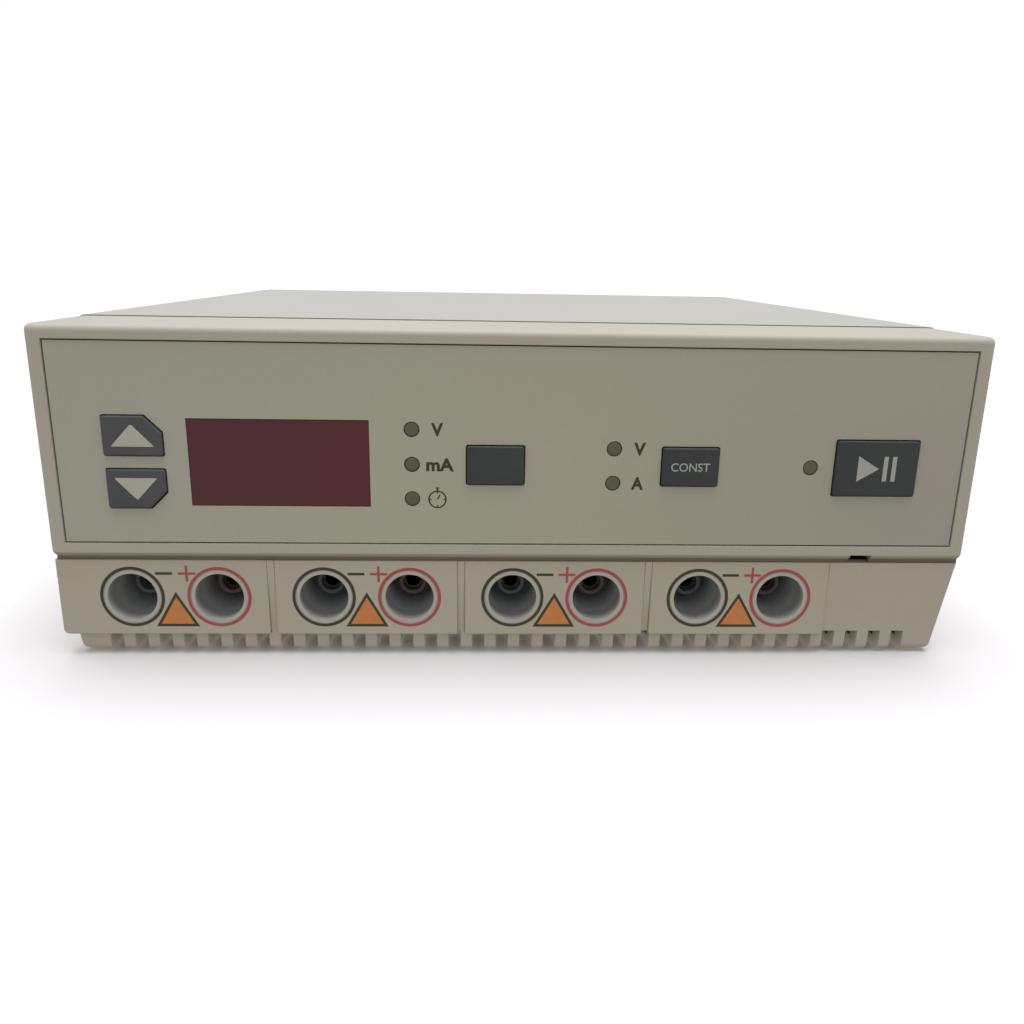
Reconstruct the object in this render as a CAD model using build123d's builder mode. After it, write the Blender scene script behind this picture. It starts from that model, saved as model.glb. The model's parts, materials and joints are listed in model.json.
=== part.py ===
from build123d import *
import math
import os

# Electrophoresis power supply, millimetres. +X is to the right seen from the front, +Y to the rear,
# +Z up. The origin is at the middle of the footprint, on the surface that the feet stand on.

# Housing
width = 235.0
body_depth = 249.5
body_height = 83.85
foot_proud = 1.0
wall = 2.5
edge_radius = 1.6
corner_radius = 3.0
cover_step = 0.25
lap_clearance = 0.2
lap_length = 6.0
lap_wall = 1.5

# Base tray and its slotted skirt
base_height = 25.1
base_inset = 0.9
base_draft_inset = 3.4
base_end_inset = 1.5
base_edge_radius = 1.6
groove_height = 0.9
groove_depth = 0.5
seam_chamfer = 0.3
rib_height = 3.5
vent_count = 34
vent_pitch = 0.026706 * width
vent_width = 0.52 * vent_pitch
vent_shift = -0.2
vent_height = 5.4
vent_reach = 14.0

# Front bezel
bezel_depth = 32.0
bezel_lower_radius = 1.6
bezel_shelf_depth = 10.0
bezel_wall = 5.0
window_side = 4.4
window_top = 3.35
window_bottom = 3.8
ledge_width = 2.4
panel_gap = 0.35
panel_recess = 0.3
panel_thickness = 2.2
latch_slot_width = 5.6
latch_slot_height = 1.4
latch_slot_depth = 6.0
latch_slot_x = 0.382 * width

# Output plates and jack wells
plate_thickness = 3.0
plate_wall = 2.5
plate_pitch = 0.20723 * width
plate_strip = 1.9
plate_width = plate_pitch - plate_strip
plate_lift = 4.8
plate_slot_clearance = 0.05
plate_edge_radius = 0.3
plate_corner_radius = 0.7
plate_end_radius = 1.4
plate_count = 4
pair_spacing = 22.0
last_plate_right = 0.35021 * width
well_height = 15.15
sleeve_outer_radius = 7.2
well_radius = 6.25
well_depth = 18.0
socket_clearance = 0.05
socket_floor = 5.0
socket_post_radius = 3.6
socket_post_length = 6.0
contact_recess = 2.0
contact_bore_radius = 2.0
contact_outer_radius = 2.6
contact_bore_length = 16.0
tail_radius = 2.0
tail_length = 9.0
bar_thickness = 1.0
bar_width = 5.0
bar_tab_width = 9.0
bar_offset = 7.5
nut_across_flats = 7.0
nut_height = 2.4

# Keys
key_proud = 0.5
key_width = 14.25
key_height = 9.8
key_corner_cut = 4.2
key_corner_radius = 0.6
key_edge_chamfer = 0.3
run_key_width = 21.1
run_key_height = 14.25
key_gap = 0.25
key_flange = 1.0
key_flange_thickness = 1.4
key_flange_gap = 0.1
key_travel = 0.8
stem_radius = 2.4
plunger_radius = 1.7
plunger_clearance = 0.2
plunger_length = 2.4
plunger_stop_gap = 0.3
switch_size = 6.2
switch_height = 3.6
switch_floor = 0.6

# Places on the control panel: across it as shares of the width, its key row as a share of its window
row_share = 0.41229
cursor_key_x = -0.39957 * width
cursor_key_pitch = 13.25
select_key_x = -0.024 * width
constant_key_x = 0.18379 * width
run_key_x = 0.3857 * width
display_x = -0.25055 * width
display_width = 0.1881 * width
display_height = 22.0
value_led_x = -0.11221 * width
limit_led_x = 0.10187 * width
run_led_x = 0.31464 * width
led_pitch = 8.8
led_radius = 1.85
led_gap = 0.1
led_dome_radius = 0.5
led_length = 7.5
led_flange = 0.6
led_flange_thickness = 1.0
led_lead_radius = 0.3
led_lead_spacing = 2.5

# Control board and display
board_thickness = 1.6
control_board_setback = 12.0
control_board_side = 8.5
control_board_lift = 7.5
control_board_drop = 7.0
boss_radius = 3.0
boss_column_side = 12.5
boss_row_inset = 4.0
boss_middle_x = 0.0851 * width
window_flange = 2.0
window_flange_thickness = 1.2
window_recess = 0.2
display_module_margin = 1.0
display_air = 0.3
display_gap = 0.1

# Rear panel and what it carries
rear_recess = 6.0
rear_panel_thickness = 2.0
rear_panel_gap = 0.15
rear_boss_size = 9.0
rear_flange_edge_radius = 0.7
fan_x = -0.2766 * width
fan_height = 0.52475 * body_height
fan_size = 60.0
fan_thickness = 15.0
fan_duct_radius = 28.5
fan_hub_radius = 11.0
fan_mount_radius = 12.0
fan_mount_thickness = 2.5
fan_strut_width = 4.0
fan_hole_pitch = 50.0
fan_blade_count = 7
fan_blade_radius = 27.0
fan_blade_chord = 12.0
fan_blade_thickness = 1.4
fan_blade_pitch = 38.0
fan_hub_length = 10.0
fan_hub_gap = 1.0
fan_corner_radius = 3.0
fan_strut_overlap = 1.0
fan_shaft_radius = 1.5
fan_shaft_clearance = 0.05
grille_slot = 3.6
grille_pitch = 6.0
inlet_x = 0.29787 * width
inlet_height = 50.0
inlet_opening_width = 24.6
inlet_opening_height = 16.6
inlet_corner_cut = 4.0
inlet_depth = 19.0
inlet_flange_width = 32.0
inlet_flange_thickness = 2.0
inlet_flange_margin = 2.0
inlet_body_depth = 28.0
inlet_wall = 2.0
pin_width = 2.0
pin_height = 4.0
pin_length = 16.5
pin_spacing = 14.0
pin_earth_offset = 4.0
pin_tail = 8.0
drawer_width = 22.0
drawer_height = 8.0
drawer_drop = 15.5
drawer_depth = 24.0
drawer_clearance = 0.15
drawer_lip = 1.5
fuse_radius = 2.5
fuse_length = 20.0
fuse_clearance = 0.1
rocker_x = 0.14468 * width
rocker_width = 12.0
rocker_half_height = 9.2
rocker_valley = 4.0
rocker_rise = 6.0
rocker_keel = 5.0
rocker_keel_half_height = 3.1
rocker_shoulder = 1.0
rocker_tilt = 9.0
rocker_pin_radius = 1.2
rocker_pin_length = 1.1
rocker_pin_clearance = 0.05
rocker_side_gap = 0.3
rocker_pivot_depth = 3.0
rocker_cavity_half_height = 10.6
rocker_case_depth = 9.0
rocker_case_wall = 1.2
rocker_flange = 1.6
rocker_flange_thickness = 2.0
terminal_length = 7.0
terminal_width = 4.8
terminal_thickness = 0.8
terminal_drop = 5.0

# Fasteners and feet
housing_post_radius = 5.0
screw_bore_clearance = 0.05
housing_post_side = 13.5
housing_post_front_setback = 50.0
housing_post_rear_inset = 24.0
housing_screw_radius = 1.5
housing_screw_head_radius = 2.8
housing_screw_head_height = 2.0
housing_screw_length = 26.0
housing_screw_pocket_radius = 3.4
housing_screw_pocket_depth = 11.0
small_screw_radius = 1.0
small_screw_head_radius = 2.2
small_screw_head_height = 1.5
small_screw_length = 5.0
recess_length_share = 1.2
recess_width_share = 0.25
screw_clearance = 0.1
foot_radius = 7.0
foot_thickness = 2.5
foot_side = 23.5
foot_front_setback = 30.0
foot_rear_inset = 40.0
foot_edge_radius = 0.6
foot_pocket_clearance = 0.1

# Inside
main_board_width = 0.4766 * width
main_board_depth = 132.0
main_board_x = -0.1617 * width
main_board_front_setback = 54.0
main_board_raise = 5.5
standoff_radius = 3.5
board_hole_inset = 5.0
heat_sink_length = main_board_width - 20.0
heat_sink_height = 42.0
heat_sink_plate = 5.0
heat_sink_fin = 14.0
heat_sink_fin_thickness = 1.6
heat_sink_fin_count = 12
heat_sink_rear_inset = 22.0
transistor_count = 4
transistor_width = 15.5
transistor_height = 20.0
transistor_thickness = 4.8
transistor_lift = 6.0
transistor_lead_width = 1.2
transistor_lead_front = 1.0
transistor_lead_back = 2.0
capacitor_count = 3
capacitor_radius = 11.0
capacitor_height = 36.0
capacitor_pitch = 26.0
capacitor_setback = 24.2
capacitor_edge_radius = 1.0
choke_radius = 10.0
choke_section = 4.5
choke_base_height = 1.0
relay_count = 4
relay_width = 12.0
relay_depth = 24.0
relay_height = 15.0
relay_pitch = 17.0
transformer_x = 0.2575 * width
transformer_front_setback = 112.0
core_width = 66.0
core_height = 55.0
core_stack = 34.0
core_leg = 11.0
winding_overhang = 11.0
winding_gap = 0.4
winding_corner_radius = 4.0
bracket_thickness = 2.0
bracket_foot = 9.0
bracket_screw_inset = 4.5
ribbon_width = 25.0
ribbon_thickness = 1.0
ribbon_x = -0.14468 * width
ribbon_height = 41.0
ribbon_bend = 12.0
header_depth = 6.0
header_height = 9.0
lead_radius = 1.5
lead_bend = 6.0
lead_rise = 15.0
negative_lead_x = -0.34043 * width
positive_lead_x = 0.03404 * width

# Places that follow from the sizes above
half_width = width / 2
face_y = (key_proud - body_depth) / 2
rear_y = face_y + body_depth
floor_z = foot_proud
top_z = floor_z + body_height
bezel_top_z = top_z - cover_step
split_z = floor_z + base_height
hood_z = split_z + groove_height
floor_top = floor_z + wall
seam_y = face_y + bezel_depth
inner_x = half_width - wall
lap_x = inner_x - lap_clearance
lap_top = top_z - wall - lap_clearance
lip_inset = base_inset + groove_depth
plate_face_y = face_y + base_inset
plate_back_y = plate_face_y + plate_thickness
front_wall_back_y = plate_back_y + plate_wall
vent_top = floor_z + vent_height
plate_low = floor_z + plate_lift
well_z = floor_z + well_height
last_pair_x = last_plate_right - plate_width / 2
first_pair_x = last_pair_x - (plate_count - 1) * plate_pitch
pair_centres = [first_pair_x + i * plate_pitch for i in range(plate_count)]
negative_x = [x - pair_spacing / 2 for x in pair_centres]
positive_x = [x + pair_spacing / 2 for x in pair_centres]
well_x = negative_x + positive_x
plate_spans = [
    (last_plate_right - (plate_count - 1 - i) * plate_pitch - plate_width,
     last_plate_right - (plate_count - 1 - i) * plate_pitch)
    for i in range(plate_count)
]
plate_spans[0] = (base_inset - half_width, plate_spans[0][1])
well_floor_y = plate_face_y + well_depth
socket_back_y = well_floor_y + socket_floor
socket_face_y = well_floor_y - socket_post_length
contact_face_y = socket_face_y + contact_recess
contact_back_y = contact_face_y + contact_bore_length + wall
bar_front_y = contact_back_y
tail_end_y = contact_back_y + tail_length
panel_face_y = face_y + panel_recess
panel_back_y = panel_face_y + panel_thickness
window_half_width = half_width - window_side
window_low = hood_z + window_bottom
window_high = bezel_top_z - window_top
row_z = window_low + row_share * (window_high - window_low)
board_front_y = face_y + control_board_setback
board_back_y = board_front_y + board_thickness
board_half_width = half_width - control_board_side
board_low = hood_z + control_board_lift
board_high = bezel_top_z - control_board_drop
switch_top_y = board_front_y - switch_height
plunger_tip_y = switch_top_y - key_travel - plunger_stop_gap
rear_face_y = rear_y - rear_recess
rear_inner_y = rear_face_y - rear_panel_thickness
fan_z = floor_z + fan_height
fan_front_y = rear_inner_y - fan_thickness
inlet_z = floor_z + inlet_height
drawer_z = inlet_z - drawer_drop
inlet_face_y = rear_face_y + inlet_flange_thickness
inlet_back_y = inlet_face_y - inlet_body_depth
inlet_floor_y = inlet_face_y - inlet_depth
inlet_top = inlet_z + inlet_opening_height / 2 + inlet_wall
inlet_bottom = drawer_z - drawer_height / 2 - inlet_wall
inlet_half_width = inlet_opening_width / 2 + inlet_wall
rocker_pivot_y = rear_face_y - rocker_pivot_depth
rocker_half_case = rocker_width / 2 + rocker_side_gap + rocker_case_wall
rocker_case_half_height = rocker_cavity_half_height + rocker_case_wall
rocker_back_y = rocker_pivot_y - rocker_case_depth
main_board_low = floor_top + main_board_raise
main_board_top = main_board_low + board_thickness
main_board_front_y = face_y + main_board_front_setback
main_board_rear_y = main_board_front_y + main_board_depth
housing_post_places = [
    (side * (half_width - housing_post_side), y)
    for side in (-1, 1)
    for y in (face_y + housing_post_front_setback, rear_y - housing_post_rear_inset)
]
foot_places = [
    (side * (half_width - foot_side), y)
    for side in (-1, 1)
    for y in (face_y + foot_front_setback, rear_y - foot_rear_inset)
]
boss_column_x = half_width - boss_column_side
board_boss_places = [
    (x, z)
    for x in (-boss_column_x, boss_middle_x, boss_column_x)
    for z in (board_low + boss_row_inset, board_high - boss_row_inset)
]
main_board_holes = [
    (main_board_x + side * (main_board_width / 2 - board_hole_inset), y)
    for side in (-1, 1)
    for y in (main_board_front_y + board_hole_inset, main_board_rear_y - board_hole_inset)
]
rear_screw_places = [
    (side * (inner_x - wall - rear_boss_size / 2), z)
    for side in (-1, 1)
    for z in (floor_top + rear_boss_size / 2, top_z - wall - rear_boss_size / 2)
]
fan_screw_places = [
    (fan_x + i * fan_hole_pitch / 2, fan_z + j * fan_hole_pitch / 2)
    for i in (-1, 1)
    for j in (-1, 1)
]
led_places = (
    [(value_led_x, row_z + i * led_pitch) for i in (-1, 0, 1)]
    + [(limit_led_x, row_z + i * led_pitch / 2) for i in (-1, 1)]
    + [(run_led_x, row_z)]
)
keys = {
    "up": (cursor_key_x, row_z + cursor_key_pitch / 2, key_width, key_height, 1),
    "down": (cursor_key_x, row_z - cursor_key_pitch / 2, key_width, key_height, -1),
    "select": (select_key_x, row_z, key_width, key_height, 0),
    "constant": (constant_key_x, row_z, key_width, key_height, 0),
    "run": (run_key_x, row_z, run_key_width, run_key_height, 0),
}

os.makedirs("parts", exist_ok=True)


def save(builder, name):
    """Label a finished piece and write it as its own file."""
    builder.part.label = name
    export_step(builder.part, f"parts/{name}.step")


def upright(y):
    """The upright plane at depth y, with X across, Z up and its normal towards the front."""
    return Plane.XZ.offset(-y)


def block(x_span, y_span, z_span, mode=Mode.ADD):
    """A box between two limits along each axis."""
    spans = (x_span, y_span, z_span)
    with Locations(tuple((low + high) / 2 for low, high in spans)):
        Box(*(high - low for low, high in spans), mode=mode)


def rod(places, radius, y_span, mode=Mode.ADD):
    """Round rods along Y at each (x, z) place, from the first depth to the second."""
    with BuildSketch(upright(y_span[1])) as section:
        with Locations(*places):
            Circle(radius)
    extrude(section.sketch, amount=y_span[1] - y_span[0], mode=mode)


def column(places, radius, z_span, mode=Mode.ADD):
    """Round columns along Z at each (x, y) place, from the first height to the second."""
    with BuildSketch(Plane.XY.offset(z_span[0])) as section:
        with Locations(*places):
            Circle(radius)
    extrude(section.sketch, amount=z_span[1] - z_span[0], mode=mode)


def screws(seat, places, head_radius, head_height, shank_radius, shank_length):
    """Cross-head screws; seat is the plane under their heads, with its normal along the shank."""
    with BuildSketch(seat) as shanks:
        with Locations(*places):
            Circle(shank_radius)
    extrude(shanks.sketch, amount=shank_length)
    with BuildSketch(seat) as heads:
        with Locations(*places):
            Circle(head_radius)
    extrude(heads.sketch, amount=-head_height)
    with BuildSketch(seat.offset(-head_height)) as recesses:
        with Locations(*places):
            Rectangle(head_radius * recess_length_share, head_radius * recess_width_share)
            Rectangle(head_radius * recess_width_share, head_radius * recess_length_share)
    extrude(recesses.sketch, amount=head_height / 2, mode=Mode.SUBTRACT)


def key_outline(key_width_now, key_height_now, cut_side, grow=0.0):
    """A key's rounded outline; cut_side 1 or -1 slants its upper or lower right corner."""
    half_x = key_width_now / 2 + grow
    half_z = key_height_now / 2 + grow
    with BuildSketch(mode=Mode.PRIVATE) as outline:
        RectangleRounded(2 * half_x, 2 * half_z, key_corner_radius)
        if cut_side:
            corner = (half_x, cut_side * half_z)
            with BuildLine():
                Polyline(
                    corner,
                    (half_x - key_corner_cut, cut_side * half_z),
                    (half_x, cut_side * (half_z - key_corner_cut)),
                    close=True,
                )
            make_face(mode=Mode.SUBTRACT)
    return outline.sketch


# Base tray: tapered skirt, front wall behind the output plates, slots round its lower front edge
base_top_half = half_width - base_inset
base_foot_half = base_top_half - base_draft_inset
base_rear_y = rear_y - base_inset
cavity_low_half = base_foot_half - wall
cavity_high_half = cavity_low_half + base_draft_inset * (base_height - wall) / base_height

with BuildPart() as base_cavity:
    with BuildSketch(upright(rear_y)):
        Polygon(
            (-cavity_low_half, floor_top),
            (cavity_low_half, floor_top),
            (cavity_high_half, split_z),
            (-cavity_high_half, split_z),
            align=None,
        )
    extrude(amount=rear_y - front_wall_back_y)

with BuildPart() as base:
    with BuildSketch(upright(base_rear_y)):
        Polygon(
            (-base_foot_half, floor_z),
            (base_foot_half, floor_z),
            (base_top_half, split_z),
            (-base_top_half, split_z),
            align=None,
        )
    extrude(amount=base_rear_y - plate_face_y)
    with BuildSketch(Plane.YZ.offset(-half_width)):
        Polygon(
            (plate_face_y + base_end_inset, floor_z),
            (base_rear_y - base_end_inset, floor_z),
            (base_rear_y, split_z),
            (plate_face_y, split_z),
            align=None,
        )
    extrude(amount=width, mode=Mode.INTERSECT)
    bottom_edges, corner_edges, _top_edges = base.edges().group_by(Axis.Z)
    fillet(bottom_edges + corner_edges, radius=base_edge_radius)
    add(base_cavity.part, mode=Mode.SUBTRACT)
    for low, high in plate_spans:
        block(
            (low - plate_slot_clearance, high + plate_slot_clearance),
            (face_y, plate_back_y),
            (plate_low, top_z),
            Mode.SUBTRACT,
        )
    block(
        (last_plate_right + wall, inner_x - wall),
        (plate_back_y, front_wall_back_y),
        (vent_top, top_z),
        Mode.SUBTRACT,
    )
    with Locations((vent_shift, face_y + vent_reach / 2, (floor_z + vent_top) / 2)):
        with GridLocations(vent_pitch, 1, vent_count, 1):
            Box(vent_width, vent_reach, vent_top - floor_z, mode=Mode.SUBTRACT)
    rod([(x, well_z) for x in well_x], sleeve_outer_radius + socket_clearance,
        (plate_back_y - wall, front_wall_back_y + wall), Mode.SUBTRACT)
    for side in (-1, 1):
        block(
            sorted((side * (lap_x - lap_wall), side * lap_x)),
            (face_y + bezel_shelf_depth + wall, rear_inner_y - wall),
            (split_z - wall, split_z + rib_height),
        )
        rear_boss_x = side * (inner_x - wall - rear_boss_size / 2)
        block(
            (rear_boss_x - rear_boss_size / 2, rear_boss_x + rear_boss_size / 2),
            (rear_inner_y - rear_boss_size, rear_inner_y),
            (floor_top, floor_top + rear_boss_size),
        )
    column(housing_post_places, housing_post_radius, (floor_top, split_z))
    column(main_board_holes, standoff_radius, (floor_top, main_board_low))
    column(housing_post_places, housing_screw_pocket_radius,
           (floor_z, floor_z + housing_screw_pocket_depth), Mode.SUBTRACT)
    column(housing_post_places, housing_screw_radius + screw_bore_clearance, (floor_z, split_z),
           Mode.SUBTRACT)
    column(main_board_holes, small_screw_radius + screw_bore_clearance,
           (floor_top, main_board_low), Mode.SUBTRACT)
    column(foot_places, foot_radius + foot_pocket_clearance,
           (floor_z, floor_z + foot_thickness - foot_proud), Mode.SUBTRACT)
    rod([place for place in rear_screw_places if place[1] < split_z],
        small_screw_radius + screw_bore_clearance, (rear_inner_y - rear_boss_size, rear_inner_y),
        Mode.SUBTRACT)
save(base, "base")

with BuildPart() as rubber_feet:
    column(foot_places, foot_radius, (0, foot_thickness))
    fillet(rubber_feet.faces().sort_by(Axis.Z)[:len(foot_places)].edges(), radius=foot_edge_radius)
save(rubber_feet, "rubber_feet")

# Front bezel: rounded hood with a window, a ledge that the panel sits on, a shelf below, and a lip
# that stands on the base and forms the groove's floor
with BuildPart() as front_bezel:
    block((-half_width, half_width), (face_y, seam_y), (hood_z, bezel_top_z))
    fillet(front_bezel.faces().sort_by(Axis.Y)[0].edges().filter_by(Axis.Z), radius=corner_radius)
    fillet(front_bezel.faces().sort_by(Axis.Z)[-1].edges().sort_by(Axis.Y)[:-1], radius=edge_radius)
    lower_edge = front_bezel.faces().sort_by(Axis.Z)[0].edges().sort_by(Axis.Y)[0]
    fillet(lower_edge, radius=bezel_lower_radius)
    chamfer(front_bezel.faces().sort_by(Axis.Y)[-1].edges(), length=seam_chamfer)
    block((lip_inset - half_width, half_width - lip_inset), (face_y + lip_inset, seam_y),
          (split_z, hood_z + wall))
    block((-inner_x, inner_x), (face_y + wall, seam_y), (split_z, hood_z), Mode.SUBTRACT)
    block((-inner_x, inner_x), (face_y + bezel_wall, seam_y), (hood_z + wall, top_z - wall),
          Mode.SUBTRACT)
    block((-inner_x, inner_x), (face_y + bezel_shelf_depth, seam_y), (hood_z, hood_z + wall),
          Mode.SUBTRACT)
    block((-window_half_width, window_half_width), (face_y, panel_back_y),
          (window_low, window_high), Mode.SUBTRACT)
    block(
        (ledge_width - window_half_width, window_half_width - ledge_width),
        (panel_back_y, face_y + bezel_wall),
        (window_low + ledge_width, window_high - ledge_width),
        Mode.SUBTRACT,
    )
    block(
        (latch_slot_x - latch_slot_width / 2, latch_slot_x + latch_slot_width / 2),
        (face_y, face_y + latch_slot_depth),
        (split_z, hood_z + latch_slot_height),
        Mode.SUBTRACT,
    )
save(front_bezel, "front_bezel")

# Top cover: shell behind the seam, with the same lip and a lap that slides inside the bezel
with BuildPart() as top_cover:
    block((-half_width, half_width), (seam_y, rear_y), (hood_z, top_z))
    fillet(top_cover.faces().sort_by(Axis.Z)[-1].edges().filter_by(Axis.Y), radius=edge_radius)
    block((lip_inset - half_width, half_width - lip_inset), (seam_y, rear_y - lip_inset),
          (split_z, hood_z + wall))
    block((-inner_x, inner_x), (seam_y, rear_y - lip_inset), (split_z, hood_z), Mode.SUBTRACT)
    block((-inner_x, inner_x), (seam_y, rear_y), (hood_z, top_z - wall), Mode.SUBTRACT)
    block((-lap_x, lap_x), (seam_y - lap_length, seam_y), (split_z + rib_height + wall, lap_top))
    block((-inner_x, inner_x), (seam_y, seam_y + lap_length),
          (split_z + rib_height + wall, top_z - wall))
    block(
        (lap_wall - lap_x, lap_x - lap_wall),
        (seam_y - lap_length, seam_y + lap_length),
        (hood_z, lap_top - lap_wall),
        Mode.SUBTRACT,
    )
    column(housing_post_places, housing_post_radius, (split_z, top_z - wall / 2))
    column(housing_post_places, housing_screw_radius + screw_bore_clearance,
           (split_z, split_z + housing_screw_length), Mode.SUBTRACT)
    for side in (-1, 1):
        block(
            sorted((side * (inner_x - wall - rear_boss_size), side * inner_x)),
            (rear_inner_y - rear_boss_size, rear_inner_y),
            (top_z - wall - rear_boss_size, top_z - wall / 2),
        )
    rod([place for place in rear_screw_places if place[1] > split_z],
        small_screw_radius + screw_bore_clearance, (rear_inner_y - rear_boss_size, rear_inner_y),
        Mode.SUBTRACT)
save(top_cover, "top_cover")

with BuildPart() as housing_screws:
    screws(
        Plane.XY.offset(floor_z + housing_screw_pocket_depth),
        housing_post_places,
        housing_screw_head_radius,
        housing_screw_head_height,
        housing_screw_radius,
        housing_screw_length,
    )
save(housing_screws, "housing_screws")

# Control panel with its bosses and openings
with BuildPart() as control_panel:
    block(
        (panel_gap - window_half_width, window_half_width - panel_gap),
        (panel_face_y, panel_back_y),
        (window_low + panel_gap, window_high - panel_gap),
    )
    rod(board_boss_places, boss_radius, (panel_back_y, board_front_y))
    rod(board_boss_places, small_screw_radius + screw_bore_clearance,
        (board_front_y - small_screw_length, board_front_y), Mode.SUBTRACT)
    for x, z, key_w, key_h, cut_side in keys.values():
        with BuildSketch(upright(panel_back_y)):
            with Locations((x, z)):
                add(key_outline(key_w, key_h, cut_side, key_gap))
        extrude(amount=panel_thickness, mode=Mode.SUBTRACT)
    block(
        (display_x - display_width / 2, display_x + display_width / 2),
        (panel_face_y, panel_back_y),
        (row_z - display_height / 2, row_z + display_height / 2),
        Mode.SUBTRACT,
    )
    rod(led_places, led_radius + led_gap, (panel_face_y, panel_back_y), Mode.SUBTRACT)
save(control_panel, "control_panel")

# Keys: cap, stop flange behind the panel, stem on a switch plunger
flange_front_y = panel_back_y + key_flange_gap
flange_back_y = flange_front_y + key_flange_thickness
key_face_y = face_y - key_proud
for name, (x, z, key_w, key_h, cut_side) in keys.items():
    with BuildPart() as key:
        with BuildSketch(upright(flange_back_y)):
            with Locations((x, z)):
                add(key_outline(key_w, key_h, cut_side))
        extrude(amount=flange_back_y - key_face_y)
        chamfer(key.faces().sort_by(Axis.Y)[0].edges(), length=key_edge_chamfer)
        with BuildSketch(upright(flange_back_y)):
            with Locations((x, z)):
                add(key_outline(key_w, key_h, cut_side, key_flange))
        extrude(amount=key_flange_thickness)
        rod([(x, z)], stem_radius, (flange_back_y, plunger_tip_y))
    save(key, f"key_{name}")
    with BuildPart() as plunger:
        rod([(x, z)], plunger_radius, (plunger_tip_y, plunger_tip_y + plunger_length))
    save(plunger, f"switch_plunger_{name}")

with BuildPart() as tact_switches:
    for x, z, key_w, key_h, cut_side in keys.values():
        block(
            (x - switch_size / 2, x + switch_size / 2),
            (switch_top_y, board_front_y),
            (z - switch_size / 2, z + switch_size / 2),
        )
        rod([(x, z)], plunger_radius + plunger_clearance,
            (switch_top_y, board_front_y - switch_floor), Mode.SUBTRACT)
save(tact_switches, "tact_switches")

# Display window, digit module, indicator lamps and the board behind them
with BuildPart() as display_window:
    block(
        (display_x - display_width / 2 + display_gap, display_x + display_width / 2 - display_gap),
        (panel_face_y + window_recess, panel_back_y),
        (row_z - display_height / 2 + display_gap, row_z + display_height / 2 - display_gap),
    )
    block(
        (display_x - display_width / 2 - window_flange, display_x + display_width / 2 + window_flange),
        (panel_back_y, panel_back_y + window_flange_thickness),
        (row_z - display_height / 2 - window_flange, row_z + display_height / 2 + window_flange),
    )
save(display_window, "display_window")

with BuildPart() as digit_display:
    block(
        (display_x - display_width / 2 + display_module_margin,
         display_x + display_width / 2 - display_module_margin),
        (panel_back_y + window_flange_thickness + display_air, board_front_y),
        (row_z - display_height / 2 + display_module_margin,
         row_z + display_height / 2 - display_module_margin),
    )
save(digit_display, "digit_display")

led_back_y = panel_face_y + led_length
with BuildPart() as indicator_leds:
    rod(led_places, led_radius, (panel_face_y, led_back_y))
    fillet(indicator_leds.faces().sort_by(Axis.Y)[:len(led_places)].edges(), radius=led_dome_radius)
    rod(led_places, led_radius + led_flange, (led_back_y - led_flange_thickness, led_back_y))
    for side in (-1, 1):
        rod([(x + side * led_lead_spacing / 2, z) for x, z in led_places], led_lead_radius,
            (led_back_y, board_front_y))
save(indicator_leds, "indicator_leds")

with BuildPart() as control_board:
    block(
        (-board_half_width, board_half_width),
        (board_front_y, board_back_y),
        (board_low, board_high),
    )
    rod(board_boss_places, small_screw_radius + screw_clearance, (board_front_y, board_back_y),
        Mode.SUBTRACT)
save(control_board, "control_board")

with BuildPart() as board_screws:
    screws(
        upright(board_back_y),
        board_boss_places,
        small_screw_head_radius,
        small_screw_head_height,
        small_screw_radius,
        small_screw_length,
    )
save(board_screws, "board_screws")

# Output plates, well sleeves, sockets and their contacts
for index, (low, high) in enumerate(plate_spans):
    with BuildPart() as jack_plate:
        block((low, high), (plate_face_y, plate_back_y), (plate_low, split_z))
        left_radius = plate_corner_radius if index else plate_end_radius
        for corner, radius in ((0, left_radius), (-1, plate_corner_radius)):
            lower_corners = jack_plate.faces().sort_by(Axis.Z)[0].edges().filter_by(Axis.Y)
            fillet(lower_corners.sort_by(Axis.X)[corner], radius=radius)
        fillet(jack_plate.faces().sort_by(Axis.Y)[0].edges(), radius=plate_edge_radius)
        rod([(pair_centres[index] + side * pair_spacing / 2, well_z) for side in (-1, 1)],
            sleeve_outer_radius + socket_clearance, (plate_face_y, plate_back_y), Mode.SUBTRACT)
    save(jack_plate, f"jack_plate_{index + 1}")

with BuildPart() as jack_sleeves:
    places = [(x, well_z) for x in well_x]
    rod(places, sleeve_outer_radius, (plate_face_y, socket_back_y))
    rod(places, well_radius, (plate_face_y, socket_back_y), Mode.SUBTRACT)
    rod(places, sleeve_outer_radius + wall / 2, (front_wall_back_y, front_wall_back_y + lap_wall))
    rod(places, well_radius, (front_wall_back_y, front_wall_back_y + lap_wall), Mode.SUBTRACT)
save(jack_sleeves, "jack_sleeves")

for name, centres in (("negative", negative_x), ("positive", positive_x)):
    places = [(x, well_z) for x in centres]
    with BuildPart() as sockets:
        rod(places, well_radius - socket_clearance, (well_floor_y, socket_back_y))
        rod(places, socket_post_radius, (socket_face_y, well_floor_y))
        rod(places, contact_outer_radius + socket_clearance, (socket_face_y, socket_back_y),
            Mode.SUBTRACT)
    save(sockets, f"sockets_{name}")

with BuildPart() as socket_contacts:
    places = [(x, well_z) for x in well_x]
    rod(places, contact_outer_radius, (contact_face_y, contact_back_y))
    rod(places, contact_bore_radius, (contact_face_y, contact_face_y + contact_bore_length),
        Mode.SUBTRACT)
    rod(places, tail_radius, (contact_back_y, tail_end_y))
save(socket_contacts, "socket_contacts")

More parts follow.
